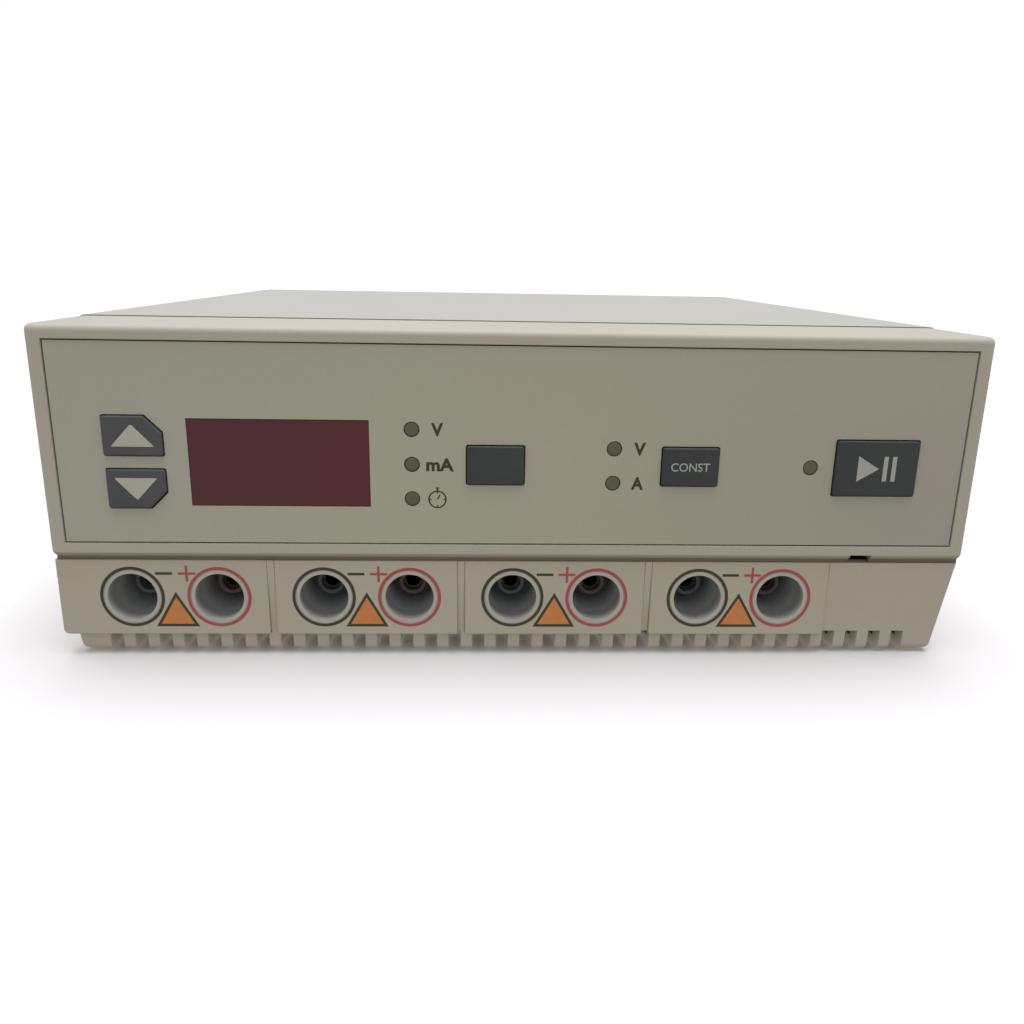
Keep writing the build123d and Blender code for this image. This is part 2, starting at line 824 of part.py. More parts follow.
for name, centres, side in (("negative", negative_x, 1), ("positive", positive_x, -1)):
    bar_z = well_z + side * bar_offset
    with BuildPart() as bus_bar:
        block(
            (centres[0] - bar_tab_width / 2, centres[-1] + bar_tab_width / 2),
            (bar_front_y, bar_front_y + bar_thickness),
            (bar_z - bar_width / 2, bar_z + bar_width / 2),
        )
        for x in centres:
            block(
                (x - bar_tab_width / 2, x + bar_tab_width / 2),
                (bar_front_y, bar_front_y + bar_thickness),
                sorted((bar_z, well_z - side * bar_tab_width / 2)),
            )
        rod([(x, well_z) for x in centres], tail_radius + socket_clearance,
            (bar_front_y, bar_front_y + bar_thickness), Mode.SUBTRACT)
    save(bus_bar, f"bus_bar_{name}")

bar_back_y = bar_front_y + bar_thickness
with BuildPart() as contact_nuts:
    with BuildSketch(upright(bar_back_y + nut_height)):
        with Locations(*[(x, well_z) for x in well_x]):
            RegularPolygon(nut_across_flats / 2, 6, major_radius=False)
    extrude(amount=nut_height)
    rod([(x, well_z) for x in well_x], tail_radius + socket_clearance,
        (bar_back_y, bar_back_y + nut_height), Mode.SUBTRACT)
save(contact_nuts, "contact_nuts")

# Rear panel: its outline follows the tapered base below and the cover above
rear_floor_x = cavity_low_half - rear_panel_gap
rear_split_x = cavity_high_half - rear_panel_gap
with BuildPart() as rear_panel:
    with BuildSketch(upright(rear_face_y)):
        with BuildLine():
            Polyline(
                (rear_floor_x, floor_top),
                (rear_split_x, split_z),
                (inner_x - rear_panel_gap, hood_z),
                (inner_x - rear_panel_gap, top_z - wall - rear_panel_gap),
                (rear_panel_gap - inner_x, top_z - wall - rear_panel_gap),
                (rear_panel_gap - inner_x, hood_z),
                (-rear_split_x, split_z),
                (-rear_floor_x, floor_top),
                close=True,
            )
        make_face()
    extrude(amount=rear_panel_thickness)
    panel_span = (rear_inner_y, rear_face_y)
    block(
        (inlet_x - inlet_half_width, inlet_x + inlet_half_width),
        panel_span,
        (inlet_bottom, inlet_top),
        Mode.SUBTRACT,
    )
    block(
        (rocker_x - rocker_half_case, rocker_x + rocker_half_case),
        panel_span,
        (inlet_z - rocker_case_half_height, inlet_z + rocker_case_half_height),
        Mode.SUBTRACT,
    )
    slot_rows = math.floor((fan_duct_radius - grille_slot / 2) / grille_pitch)
    for row in range(-slot_rows, slot_rows + 1):
        slot_z = row * grille_pitch
        reach = abs(slot_z) + grille_slot / 2
        slot_half_length = math.sqrt(fan_duct_radius ** 2 - reach ** 2)
        with BuildSketch(upright(rear_face_y)):
            with Locations((fan_x, fan_z + slot_z)):
                SlotOverall(2 * slot_half_length, grille_slot)
        extrude(amount=rear_panel_thickness, mode=Mode.SUBTRACT)
    rod(fan_screw_places + rear_screw_places, housing_screw_radius + screw_clearance, panel_span,
        Mode.SUBTRACT)
save(rear_panel, "rear_panel")

with BuildPart() as rear_panel_screws:
    screws(
        Plane(origin=(0, rear_face_y, 0), x_dir=(1, 0, 0), z_dir=(0, -1, 0)),
        rear_screw_places,
        housing_screw_head_radius,
        small_screw_head_height,
        small_screw_radius,
        rear_boss_size,
    )
save(rear_panel_screws, "rear_panel_screws")

# Cooling fan
hub_bore = fan_shaft_radius + fan_shaft_clearance
with BuildPart() as fan_frame:
    block(
        (fan_x - fan_size / 2, fan_x + fan_size / 2),
        (fan_front_y, rear_inner_y),
        (fan_z - fan_size / 2, fan_z + fan_size / 2),
    )
    fillet(fan_frame.edges().filter_by(Axis.Y), radius=fan_corner_radius)
    rod([(fan_x, fan_z)], fan_duct_radius, (fan_front_y, rear_inner_y), Mode.SUBTRACT)
    rod([(fan_x, fan_z)], fan_mount_radius, (fan_front_y, fan_front_y + fan_mount_thickness))
    block(
        (fan_x - fan_strut_width / 2, fan_x + fan_strut_width / 2),
        (fan_front_y, fan_front_y + fan_mount_thickness),
        (fan_z - fan_duct_radius - fan_strut_overlap, fan_z + fan_duct_radius + fan_strut_overlap),
    )
    block(
        (fan_x - fan_duct_radius - fan_strut_overlap, fan_x + fan_duct_radius + fan_strut_overlap),
        (fan_front_y, fan_front_y + fan_mount_thickness),
        (fan_z - fan_strut_width / 2, fan_z + fan_strut_width / 2),
    )
    rod([(fan_x, fan_z)], hub_bore, (fan_front_y, fan_front_y + fan_mount_thickness), Mode.SUBTRACT)
    rod(fan_screw_places, housing_screw_radius + screw_clearance, (fan_front_y, rear_inner_y),
        Mode.SUBTRACT)
save(fan_frame, "fan_frame")

hub_front_y = fan_front_y + fan_mount_thickness + fan_hub_gap
hub_back_y = hub_front_y + fan_hub_length
hub_mid_y = (hub_front_y + hub_back_y) / 2
blade_length = fan_blade_radius - fan_hub_radius + fan_strut_overlap
with BuildPart() as fan_rotor:
    rod([(fan_x, fan_z)], fan_hub_radius, (hub_front_y, hub_back_y))
    rod([(fan_x, fan_z)], fan_shaft_radius, (fan_front_y, hub_front_y))
    rotor_plane = Plane(origin=(fan_x, hub_mid_y, fan_z), x_dir=(1, 0, 0), z_dir=(0, -1, 0))
    with Locations(rotor_plane):
        with PolarLocations(fan_blade_radius - blade_length / 2, fan_blade_count):
            Box(blade_length, fan_blade_chord, fan_blade_thickness,
                rotation=(fan_blade_pitch, 0, 0))
save(fan_rotor, "fan_rotor")

with BuildPart() as fan_screws:
    screws(
        upright(rear_face_y),
        fan_screw_places,
        housing_screw_head_radius,
        small_screw_head_height,
        housing_screw_radius,
        fan_thickness + rear_panel_thickness,
    )
save(fan_screws, "fan_screws")

# Mains inlet with its fuse drawer
with BuildPart() as inlet_socket:
    block(
        (inlet_x - inlet_half_width, inlet_x + inlet_half_width),
        (inlet_back_y, rear_face_y),
        (inlet_bottom, inlet_top),
    )
    block(
        (inlet_x - inlet_flange_width / 2, inlet_x + inlet_flange_width / 2),
        (rear_face_y, inlet_face_y),
        (inlet_bottom - inlet_flange_margin, inlet_top + inlet_flange_margin),
    )
    fillet(inlet_socket.faces().sort_by(Axis.Y)[-1].edges(), radius=rear_flange_edge_radius)
    half_x = inlet_opening_width / 2
    half_z = inlet_opening_height / 2
    with BuildSketch(upright(inlet_face_y)):
        with Locations((inlet_x, inlet_z)):
            Polygon(
                (-half_x, -half_z),
                (half_x, -half_z),
                (half_x, half_z - inlet_corner_cut),
                (half_x - inlet_corner_cut, half_z),
                (inlet_corner_cut - half_x, half_z),
                (-half_x, half_z - inlet_corner_cut),
                align=None,
            )
    extrude(amount=inlet_depth, mode=Mode.SUBTRACT)
    drawer_half_x = drawer_width / 2 + drawer_clearance
    drawer_half_z = drawer_height / 2 + drawer_clearance
    block(
        (inlet_x - drawer_half_x, inlet_x + drawer_half_x),
        (inlet_face_y - drawer_depth - drawer_clearance, inlet_face_y),
        (drawer_z - drawer_half_z, drawer_z + drawer_half_z),
        Mode.SUBTRACT,
    )
    pin_centres = [
        (inlet_x - pin_spacing / 2, inlet_z - pin_earth_offset / 2),
        (inlet_x + pin_spacing / 2, inlet_z - pin_earth_offset / 2),
        (inlet_x, inlet_z + pin_earth_offset / 2),
    ]
    for x, z in pin_centres:
        block(
            (x - pin_width / 2, x + pin_width / 2),
            (inlet_back_y, inlet_floor_y),
            (z - pin_height / 2, z + pin_height / 2),
            Mode.SUBTRACT,
        )
save(inlet_socket, "inlet_socket")

with BuildPart() as inlet_pins:
    for x, z in pin_centres:
        block(
            (x - pin_width / 2, x + pin_width / 2),
            (inlet_back_y - pin_tail, inlet_floor_y + pin_length),
            (z - pin_height / 2, z + pin_height / 2),
        )
save(inlet_pins, "inlet_pins")

fuse_y = inlet_face_y - drawer_depth / 2
with BuildPart() as fuse_drawer:
    block(
        (inlet_x - drawer_width / 2, inlet_x + drawer_width / 2),
        (inlet_face_y - drawer_depth, inlet_face_y),
        (drawer_z - drawer_height / 2, drawer_z + drawer_height / 2),
    )
    block(
        (inlet_x - drawer_width / 2 - drawer_lip, inlet_x + drawer_width / 2 + drawer_lip),
        (inlet_face_y, inlet_face_y + drawer_lip),
        (drawer_z - drawer_height / 2, drawer_z + drawer_height / 2),
    )
    block(
        (inlet_x - fuse_radius - fuse_clearance, inlet_x + fuse_radius + fuse_clearance),
        (fuse_y - fuse_length / 2 - fuse_clearance, fuse_y + fuse_length / 2 + fuse_clearance),
        (drawer_z - fuse_radius - fuse_clearance, drawer_z + drawer_height / 2),
        Mode.SUBTRACT,
    )
save(fuse_drawer, "fuse_drawer")

with BuildPart() as fuse:
    rod([(inlet_x, drawer_z)], fuse_radius, (fuse_y - fuse_length / 2, fuse_y + fuse_length / 2))
save(fuse, "fuse")

# Mains switch
with BuildPart() as switch_bezel:
    block(
        (rocker_x - rocker_half_case, rocker_x + rocker_half_case),
        (rocker_back_y, rear_face_y),
        (inlet_z - rocker_case_half_height, inlet_z + rocker_case_half_height),
    )
    block(
        (rocker_x - rocker_half_case - rocker_flange, rocker_x + rocker_half_case + rocker_flange),
        (rear_face_y, rear_face_y + rocker_flange_thickness),
        (inlet_z - rocker_case_half_height - rocker_flange,
         inlet_z + rocker_case_half_height + rocker_flange),
    )
    fillet(switch_bezel.faces().sort_by(Axis.Y)[-1].edges(), radius=rear_flange_edge_radius)
    block(
        (rocker_x - rocker_half_case + rocker_case_wall, rocker_x + rocker_half_case - rocker_case_wall),
        (rocker_back_y + rocker_case_wall, rear_face_y + rocker_flange_thickness),
        (inlet_z - rocker_cavity_half_height, inlet_z + rocker_cavity_half_height),
        Mode.SUBTRACT,
    )
    with BuildSketch(Plane.YZ.offset(rocker_x - rocker_half_case)):
        with Locations((rocker_pivot_y, inlet_z)):
            Circle(rocker_pin_radius + rocker_pin_clearance)
    extrude(amount=2 * rocker_half_case, mode=Mode.SUBTRACT)
    for side in (-1, 1):
        block(
            (rocker_x - terminal_width / 2, rocker_x + terminal_width / 2),
            (rocker_back_y - terminal_length, rocker_back_y),
            (inlet_z + side * terminal_drop - terminal_thickness / 2,
             inlet_z + side * terminal_drop + terminal_thickness / 2),
        )
save(switch_bezel, "switch_bezel")

with BuildPart() as rocker:
    with BuildSketch(Plane.YZ.offset(rocker_x - rocker_width / 2)):
        with Locations((rocker_pivot_y, inlet_z)):
            Polygon(
                (rocker_rise, rocker_half_height),
                (-rocker_shoulder, rocker_half_height),
                (-rocker_keel, rocker_keel_half_height),
                (-rocker_keel, -rocker_keel_half_height),
                (-rocker_shoulder, -rocker_half_height),
                (rocker_rise, -rocker_half_height),
                (rocker_valley, 0),
                rotation=-rocker_tilt,
                align=None,
            )
    extrude(amount=rocker_width)
    pin_reach = rocker_width / 2 + rocker_pin_length
    with BuildSketch(Plane.YZ.offset(rocker_x - pin_reach)):
        with Locations((rocker_pivot_y, inlet_z)):
            Circle(rocker_pin_radius)
    extrude(amount=2 * pin_reach)
save(rocker, "rocker")

# Main board and what stands on it
with BuildPart() as main_board:
    block(
        (main_board_x - main_board_width / 2, main_board_x + main_board_width / 2),
        (main_board_front_y, main_board_rear_y),
        (main_board_low, main_board_top),
    )
    column(main_board_holes, small_screw_radius + screw_clearance, (main_board_low, main_board_top),
           Mode.SUBTRACT)
save(main_board, "main_board")

heat_sink_back_y = main_board_rear_y - heat_sink_rear_inset
heat_sink_front_y = heat_sink_back_y - heat_sink_plate
fin_pitch = (heat_sink_length - heat_sink_fin_thickness) / (heat_sink_fin_count - 1)
with BuildPart() as heat_sink:
    block(
        (main_board_x - heat_sink_length / 2, main_board_x + heat_sink_length / 2),
        (heat_sink_front_y, heat_sink_back_y),
        (main_board_top, main_board_top + heat_sink_height),
    )
    with Locations((main_board_x, heat_sink_back_y + heat_sink_fin / 2,
                    main_board_top + heat_sink_height / 2)):
        with GridLocations(fin_pitch, 1, heat_sink_fin_count, 1):
            Box(heat_sink_fin_thickness, heat_sink_fin, heat_sink_height)
save(heat_sink, "heat_sink")

transistor_pitch = heat_sink_length / transistor_count
with BuildPart() as power_transistors:
    for i in range(transistor_count):
        x = main_board_x + (i - (transistor_count - 1) / 2) * transistor_pitch
        block(
            (x - transistor_width / 2, x + transistor_width / 2),
            (heat_sink_front_y - transistor_thickness, heat_sink_front_y),
            (main_board_top + transistor_lift, main_board_top + transistor_lift + transistor_height),
        )
        for lead in (-1, 0, 1):
            lead_x = x + lead * transistor_width / 3
            block(
                (lead_x - transistor_lead_width / 2, lead_x + transistor_lead_width / 2),
                (heat_sink_front_y - transistor_thickness + transistor_lead_front,
                 heat_sink_front_y - transistor_lead_back),
                (main_board_top, main_board_top + transistor_lift),
            )
save(power_transistors, "power_transistors")

capacitor_y = heat_sink_front_y - transistor_thickness - capacitor_setback
with BuildPart() as bulk_capacitors:
    column(
        [(main_board_x + (i - (capacitor_count - 1) / 2) * capacitor_pitch, capacitor_y)
         for i in range(capacitor_count)],
        capacitor_radius,
        (main_board_top, main_board_top + capacitor_height),
    )
    top_edges = bulk_capacitors.edges().filter_by(GeomType.CIRCLE).group_by(Axis.Z)[-1]
    fillet(top_edges, radius=capacitor_edge_radius)
save(bulk_capacitors, "bulk_capacitors")

choke_x = main_board_x - main_board_width / 2 + choke_radius + choke_section + board_hole_inset
choke_y = capacitor_y - capacitor_radius - choke_radius - 2 * choke_section
with BuildPart() as filter_choke:
    with Locations((choke_x, choke_y, main_board_top + choke_section)):
        Torus(choke_radius, choke_section)
    block(
        (choke_x - choke_radius, choke_x + choke_radius),
        (choke_y - choke_radius, choke_y + choke_radius),
        (main_board_top, main_board_top + choke_base_height),
    )
save(filter_choke, "filter_choke")

relay_y = choke_y
with BuildPart() as output_relays:
    for i in range(relay_count):
        x = choke_x + choke_radius + 2 * choke_section + relay_width / 2 + i * relay_pitch
        block(
            (x - relay_width / 2, x + relay_width / 2),
            (relay_y - relay_depth / 2, relay_y + relay_depth / 2),
            (main_board_top, main_board_top + relay_height),
        )
save(output_relays, "output_relays")

# Mains transformer on its bracket
core_low = floor_top + bracket_thickness
core_mid_z = core_low + core_height / 2
transformer_y = face_y + transformer_front_setback
with BuildPart() as transformer_core:
    core_span_y = (transformer_y - core_stack / 2, transformer_y + core_stack / 2)
    block(
        (transformer_x - core_width / 2, transformer_x + core_width / 2),
        core_span_y,
        (core_low, core_low + core_height),
    )
    for side in (-1, 1):
        block(
            sorted((transformer_x + side * core_leg, transformer_x + side * (core_width / 2 - core_leg))),
            core_span_y,
            (core_low + core_leg, core_low + core_height - core_leg),
            Mode.SUBTRACT,
        )
save(transformer_core, "transformer_core")

with BuildPart() as transformer_windings:
    block(
        (transformer_x - core_width / 2 + core_leg + winding_gap,
         transformer_x + core_width / 2 - core_leg - winding_gap),
        (core_span_y[0] - winding_overhang, core_span_y[1] + winding_overhang),
        (core_low + core_leg + winding_gap, core_low + core_height - core_leg - winding_gap),
    )
    fillet(transformer_windings.edges().filter_by(Axis.Z), radius=winding_corner_radius)
    block(
        (transformer_x - core_leg - winding_gap, transformer_x + core_leg + winding_gap),
        core_span_y,
        (core_low, core_low + core_height),
        Mode.SUBTRACT,
    )
save(transformer_windings, "transformer_windings")

bracket_reach = core_width / 2 + bracket_thickness + bracket_foot
bracket_screw_places = [
    (transformer_x + side * (bracket_reach - bracket_screw_inset), transformer_y) for side in (-1, 1)
]
with BuildPart() as transformer_bracket:
    block(
        (transformer_x - bracket_reach, transformer_x + bracket_reach),
        core_span_y,
        (floor_top, core_low),
    )
    for side in (-1, 1):
        block(
            sorted((transformer_x + side * core_width / 2,
                    transformer_x + side * (core_width / 2 + bracket_thickness))),
            core_span_y,
            (floor_top, core_low + core_height / 2),
        )
    column(bracket_screw_places, small_screw_radius + screw_clearance, (floor_top, core_low),
           Mode.SUBTRACT)
save(transformer_bracket, "transformer_bracket")

with BuildPart() as chassis_screws:
    screws(
        Plane(origin=(0, 0, main_board_top), x_dir=(1, 0, 0), z_dir=(0, 0, -1)),
        [(x, -y) for x, y in main_board_holes],
        small_screw_head_radius,
        small_screw_head_height,
        small_screw_radius,
        small_screw_length,
    )
    screws(
        Plane(origin=(0, 0, core_low), x_dir=(1, 0, 0), z_dir=(0, 0, -1)),
        [(x, -y) for x, y in bracket_screw_places],
        small_screw_head_radius,
        small_screw_head_height,
        small_screw_radius,
        bracket_thickness,
    )
save(chassis_screws, "chassis_screws")

# Wiring: ribbon between the boards, output leads and mains leads
ribbon_z = floor_z + ribbon_height
header_back_y = board_back_y + header_depth
lower_header_y = main_board_front_y + header_depth
lower_header_top = main_board_top + header_height
ribbon_span = (ribbon_x - ribbon_width / 2, ribbon_x + ribbon_width / 2)
with BuildPart() as board_headers:
    block(
        ribbon_span,
        (board_back_y, header_back_y),
        (ribbon_z - header_depth / 2, ribbon_z + header_depth / 2),
    )
    block(
        ribbon_span,
        (lower_header_y - header_depth / 2, lower_header_y + header_depth / 2),
        (main_board_top, lower_header_top),
    )
save(board_headers, "board_headers")

with BuildPart() as ribbon_cable:
    with BuildSketch(Plane.YZ.offset(ribbon_span[0])):
        with BuildLine():
            half = ribbon_thickness / 2
            FilletPolyline(
                (header_back_y, ribbon_z + half),
                (lower_header_y + half, ribbon_z + half),
                (lower_header_y + half, lower_header_top),
                radius=ribbon_bend + half,
            )
            Line((lower_header_y + half, lower_header_top), (lower_header_y - half, lower_header_top))
            FilletPolyline(
                (lower_header_y - half, lower_header_top),
                (lower_header_y - half, ribbon_z - half),
                (header_back_y, ribbon_z - half),
                radius=ribbon_bend - half,
            )
            Line((header_back_y, ribbon_z - half), (header_back_y, ribbon_z + half))
        make_face()
    extrude(amount=ribbon_width)
save(ribbon_cable, "ribbon_cable")


def lead(points, bend):
    """A round lead along straight runs joined by arcs."""
    with BuildLine() as route:
        FilletPolyline(*points, radius=bend)
    with BuildSketch(Plane(origin=route.line @ 0, z_dir=route.line % 0)) as section:
        Circle(lead_radius)
    sweep(section.sketch, path=route.line)


lead_board_y = main_board_front_y + header_depth
for name, lead_x, side in (("negative", negative_lead_x, 1), ("positive", positive_lead_x, -1)):
    bar_z = well_z + side * bar_offset
    rise_z = main_board_top + lead_rise
    rise_y = bar_back_y + 2 * lead_bend
    with BuildPart() as output_lead:
        if side > 0:
            lead(
                [(lead_x, bar_back_y, bar_z), (lead_x, lead_board_y, bar_z),
                 (lead_x, lead_board_y, main_board_top)],
                lead_bend,
            )
        else:
            lead(
                [(lead_x, bar_back_y, bar_z), (lead_x, rise_y, bar_z), (lead_x, rise_y, rise_z),
                 (lead_x, lead_board_y, rise_z), (lead_x, lead_board_y, main_board_top)],
                lead_bend,
            )
    save(output_lead, f"output_lead_{name}")

inlet_tail_y = inlet_back_y - pin_tail
pin_z = inlet_z - pin_earth_offset / 2
switch_tail_y = rocker_back_y - terminal_length
windings_back_y = core_span_y[1] + winding_overhang
with BuildPart() as mains_leads:
    lead(
        [(inlet_x - pin_spacing / 2, inlet_tail_y, pin_z),
         (inlet_x - pin_spacing / 2, inlet_tail_y - 2 * lead_bend, pin_z),
         (rocker_x, inlet_tail_y - 2 * lead_bend, inlet_z - terminal_drop),
         (rocker_x, switch_tail_y, inlet_z - terminal_drop)],
        lead_bend,
    )
    lead(
        [(inlet_x + pin_spacing / 2, inlet_tail_y, pin_z),
         (inlet_x + pin_spacing / 2, inlet_tail_y - 2 * lead_bend, pin_z),
         (transformer_x + core_leg, windings_back_y + 2 * lead_bend, core_mid_z),
         (transformer_x + core_leg, windings_back_y, core_mid_z)],
        lead_bend,
    )
    lead(
        [(rocker_x, switch_tail_y, inlet_z + terminal_drop),
         (rocker_x, inlet_tail_y - 4 * lead_bend, inlet_z + terminal_drop),
         (transformer_x - core_leg, windings_back_y + 2 * lead_bend, core_mid_z),
         (transformer_x - core_leg, windings_back_y, core_mid_z)],
        lead_bend,
    )
save(mains_leads, "mains_leads")
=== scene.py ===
import json
import math

import bmesh
import bpy
from mathutils import Matrix, Vector


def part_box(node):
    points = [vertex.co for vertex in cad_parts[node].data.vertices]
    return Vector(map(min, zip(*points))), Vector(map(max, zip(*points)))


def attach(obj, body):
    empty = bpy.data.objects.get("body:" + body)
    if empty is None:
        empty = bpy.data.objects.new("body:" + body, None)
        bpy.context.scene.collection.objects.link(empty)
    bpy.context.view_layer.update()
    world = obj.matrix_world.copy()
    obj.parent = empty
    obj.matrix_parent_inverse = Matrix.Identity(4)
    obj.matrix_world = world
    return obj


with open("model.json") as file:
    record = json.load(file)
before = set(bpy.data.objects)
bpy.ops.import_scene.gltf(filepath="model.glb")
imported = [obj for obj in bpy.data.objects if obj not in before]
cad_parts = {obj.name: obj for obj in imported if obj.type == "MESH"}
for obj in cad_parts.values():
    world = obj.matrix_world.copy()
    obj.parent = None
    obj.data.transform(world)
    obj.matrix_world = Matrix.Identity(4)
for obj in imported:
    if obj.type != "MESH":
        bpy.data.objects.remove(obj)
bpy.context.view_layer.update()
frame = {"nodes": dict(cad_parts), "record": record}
nodes = frame["nodes"]
mounts = {mount["name"]: mount for mount in frame["record"]["mounts"]}

MM = 0.001

# Camera at the photograph's place, fitted to the edges and rings that it shows
CAMERA_PLACE = Vector((-0.01047, -0.33911, 0.10042))
CAMERA_YAW = math.radians(2.437)
CAMERA_PITCH = math.radians(15.806)
CAMERA_ROLL = math.radians(-1.028)
CAMERA_LENS = 31.073
CAMERA_SENSOR = 36
CAMERA_NEAR = 0.01
CAMERA_FAR = 50

# Printed marks: how deep in a face they start, and how thick they are
PRINT_SINK = 0.03 * MM
PRINT_THICKNESS = 0.05 * MM
# Capital height of the built-in font as a share of its size
CAPITAL_SHARE = 0.73
LETTER_RESOLUTION = 6

# Output plates: rings round the wells, then signs and a triangle placed from the negative well
PLATE_COUNT = 4
RING_INNER = 7.35 * MM
RING_OUTER = 8.15 * MM
RING_STEPS = 128
SIGN_RISE = 6.35 * MM
MINUS_ACROSS = 8.35 * MM
MINUS_WIDTH = 4.3 * MM
MINUS_STROKE = 0.7 * MM
PLUS_ACROSS = 14.1 * MM
PLUS_WIDTH = 4.4 * MM
PLUS_STROKE = 0.65 * MM
PLUS_ARM = 1.85 * MM
TRIANGLE_ACROSS = 10.95 * MM
TRIANGLE_DROP = 4.98 * MM
TRIANGLE_HALF = 5.5 * MM
TRIANGLE_BORDER = 1.25 * MM

# Control panel: letters as name, text, middle across, rows above the middle lamp, width
ROW_PITCH = 8.8 * MM
LETTER_HEIGHT = 3.2 * MM
LETTER_WEIGHT = 0.16 * MM
PANEL_LETTERS = (
    ("label_volts", "V", -20.1 * MM, 1, 3.0 * MM),
    ("label_milliamps", "mA", -19.4 * MM, 0, 6.9 * MM),
    ("label_limit_volts", "V", 30.3 * MM, 0.5, 3.0 * MM),
    ("label_limit_amps", "A", 30.1 * MM, -0.5, 3.1 * MM),
)
CLOCK_ACROSS = -20.1 * MM
CLOCK_DROP = 0.1 * MM
CLOCK_RADIUS = 2.3 * MM
CLOCK_LINE = 0.36 * MM
CLOCK_TICK = 0.75 * MM
CLOCK_HAND = 1.35 * MM
CLOCK_HAND_ANGLE = math.radians(62)
CLOCK_STEM = 0.5 * MM
CLOCK_STEM_WIDTH = 0.45 * MM
CLOCK_KNOB = 0.8 * MM
CLOCK_KNOB_WIDTH = 0.9 * MM

# Keys: arrow heads, the word on the constant key, and the start and pause sign on the run key
ARROW_HALF = 5.1 * MM
ARROW_TALL = 5.6 * MM
ARROW_BLUNT = 0.25 * MM
ARROW_INSET = 0.1 * MM
ARROW_UP_BASE = -2.6 * MM
ARROW_DOWN_BASE = 2.8 * MM
WORD_HEIGHT = 2.2 * MM
WORD_WEIGHT = 0.02 * MM
WORD_WIDTH = 9.8 * MM
START_LEFT = -4.9 * MM
START_TIP = 0.6 * MM
START_HALF = 3.3 * MM
PAUSE_LEFT = 2.2 * MM
PAUSE_RIGHT = 4.4 * MM
PAUSE_WIDTH = 1.1 * MM
PAUSE_HEIGHT = 6.4 * MM

# Mains rocker: least outward turn of a face, the tilt that parts its two faces, and their marks
ROCKER_FACE_TURN = 0.8
ROCKER_FACE_SPLIT = -0.15
ON_WIDTH = 0.8 * MM
ON_HEIGHT = 4.2 * MM
OFF_INNER = 1.5 * MM
OFF_OUTER = 2.2 * MM

# Moulded plastic: height of its grain, radius of its softened edges and tone of their painted
# highlight, tone of its smears
MOULD_GRAIN = 0.012 * MM
MOULD_EDGE = 0.35 * MM
MOULD_EDGE_HIGHLIGHT = 1.12
MOULD_SMEAR_TONE = 0.88
# Satin plastic: height of its grain
SATIN_GRAIN = 0.004 * MM
# Well sleeves: the stretch of the bore, from the rim, that the painted shade and the painted light
# deeper down cover
SLEEVE_RAMP_START = 0.2 * MM
SLEEVE_RAMP_END = 7.0 * MM

# Light of the studio by direction, from straight down over the horizon to straight up
SOFT_BOX = (
    (0.0, (0.34, 0.325, 0.275, 1.0)),
    (0.5, (0.50, 0.485, 0.425, 1.0)),
    (1.0, (0.50, 0.50, 0.49, 1.0)),
)
FLOOR_SIZE = 6
SUN_ENERGY = 2.1
SUN_ANGLE = math.radians(55)
SUN_COLOUR = (1.0, 0.985, 1.02)
SUN_TURN = (math.radians(-3), math.radians(2), 0)


def make_camera():
    """A camera that looks down at the front, a little from the left."""
    forward = Vector((
        math.sin(CAMERA_YAW) * math.cos(CAMERA_PITCH),
        math.cos(CAMERA_YAW) * math.cos(CAMERA_PITCH),
        -math.sin(CAMERA_PITCH),
    ))
    right = Vector((math.cos(CAMERA_YAW), -math.sin(CAMERA_YAW), 0))
    down = forward.cross(right)
    image_x = math.cos(CAMERA_ROLL) * right + math.sin(CAMERA_ROLL) * down
    image_y = -math.sin(CAMERA_ROLL) * right + math.cos(CAMERA_ROLL) * down
    data = bpy.data.cameras.new("camera")
    data.sensor_width = CAMERA_SENSOR
    data.lens = CAMERA_LENS
    data.dof.use_dof = False
    data.clip_start = CAMERA_NEAR
    data.clip_end = CAMERA_FAR
    camera = bpy.data.objects.new("camera", data)
    turn = Matrix((image_x, -image_y, -forward)).transposed()
    camera.matrix_world = Matrix.Translation(CAMERA_PLACE) @ turn.to_4x4()
    bpy.context.scene.collection.objects.link(camera)
    bpy.context.scene.camera = camera


def srgb(red, green, blue):
    """A linear colour from 0 to 255 display values."""
    def linear(value):
        value /= 255
        return value / 12.92 if value <= 0.04045 else ((value + 0.055) / 1.055) ** 2.4
    return (linear(red), linear(green), linear(blue), 1.0)


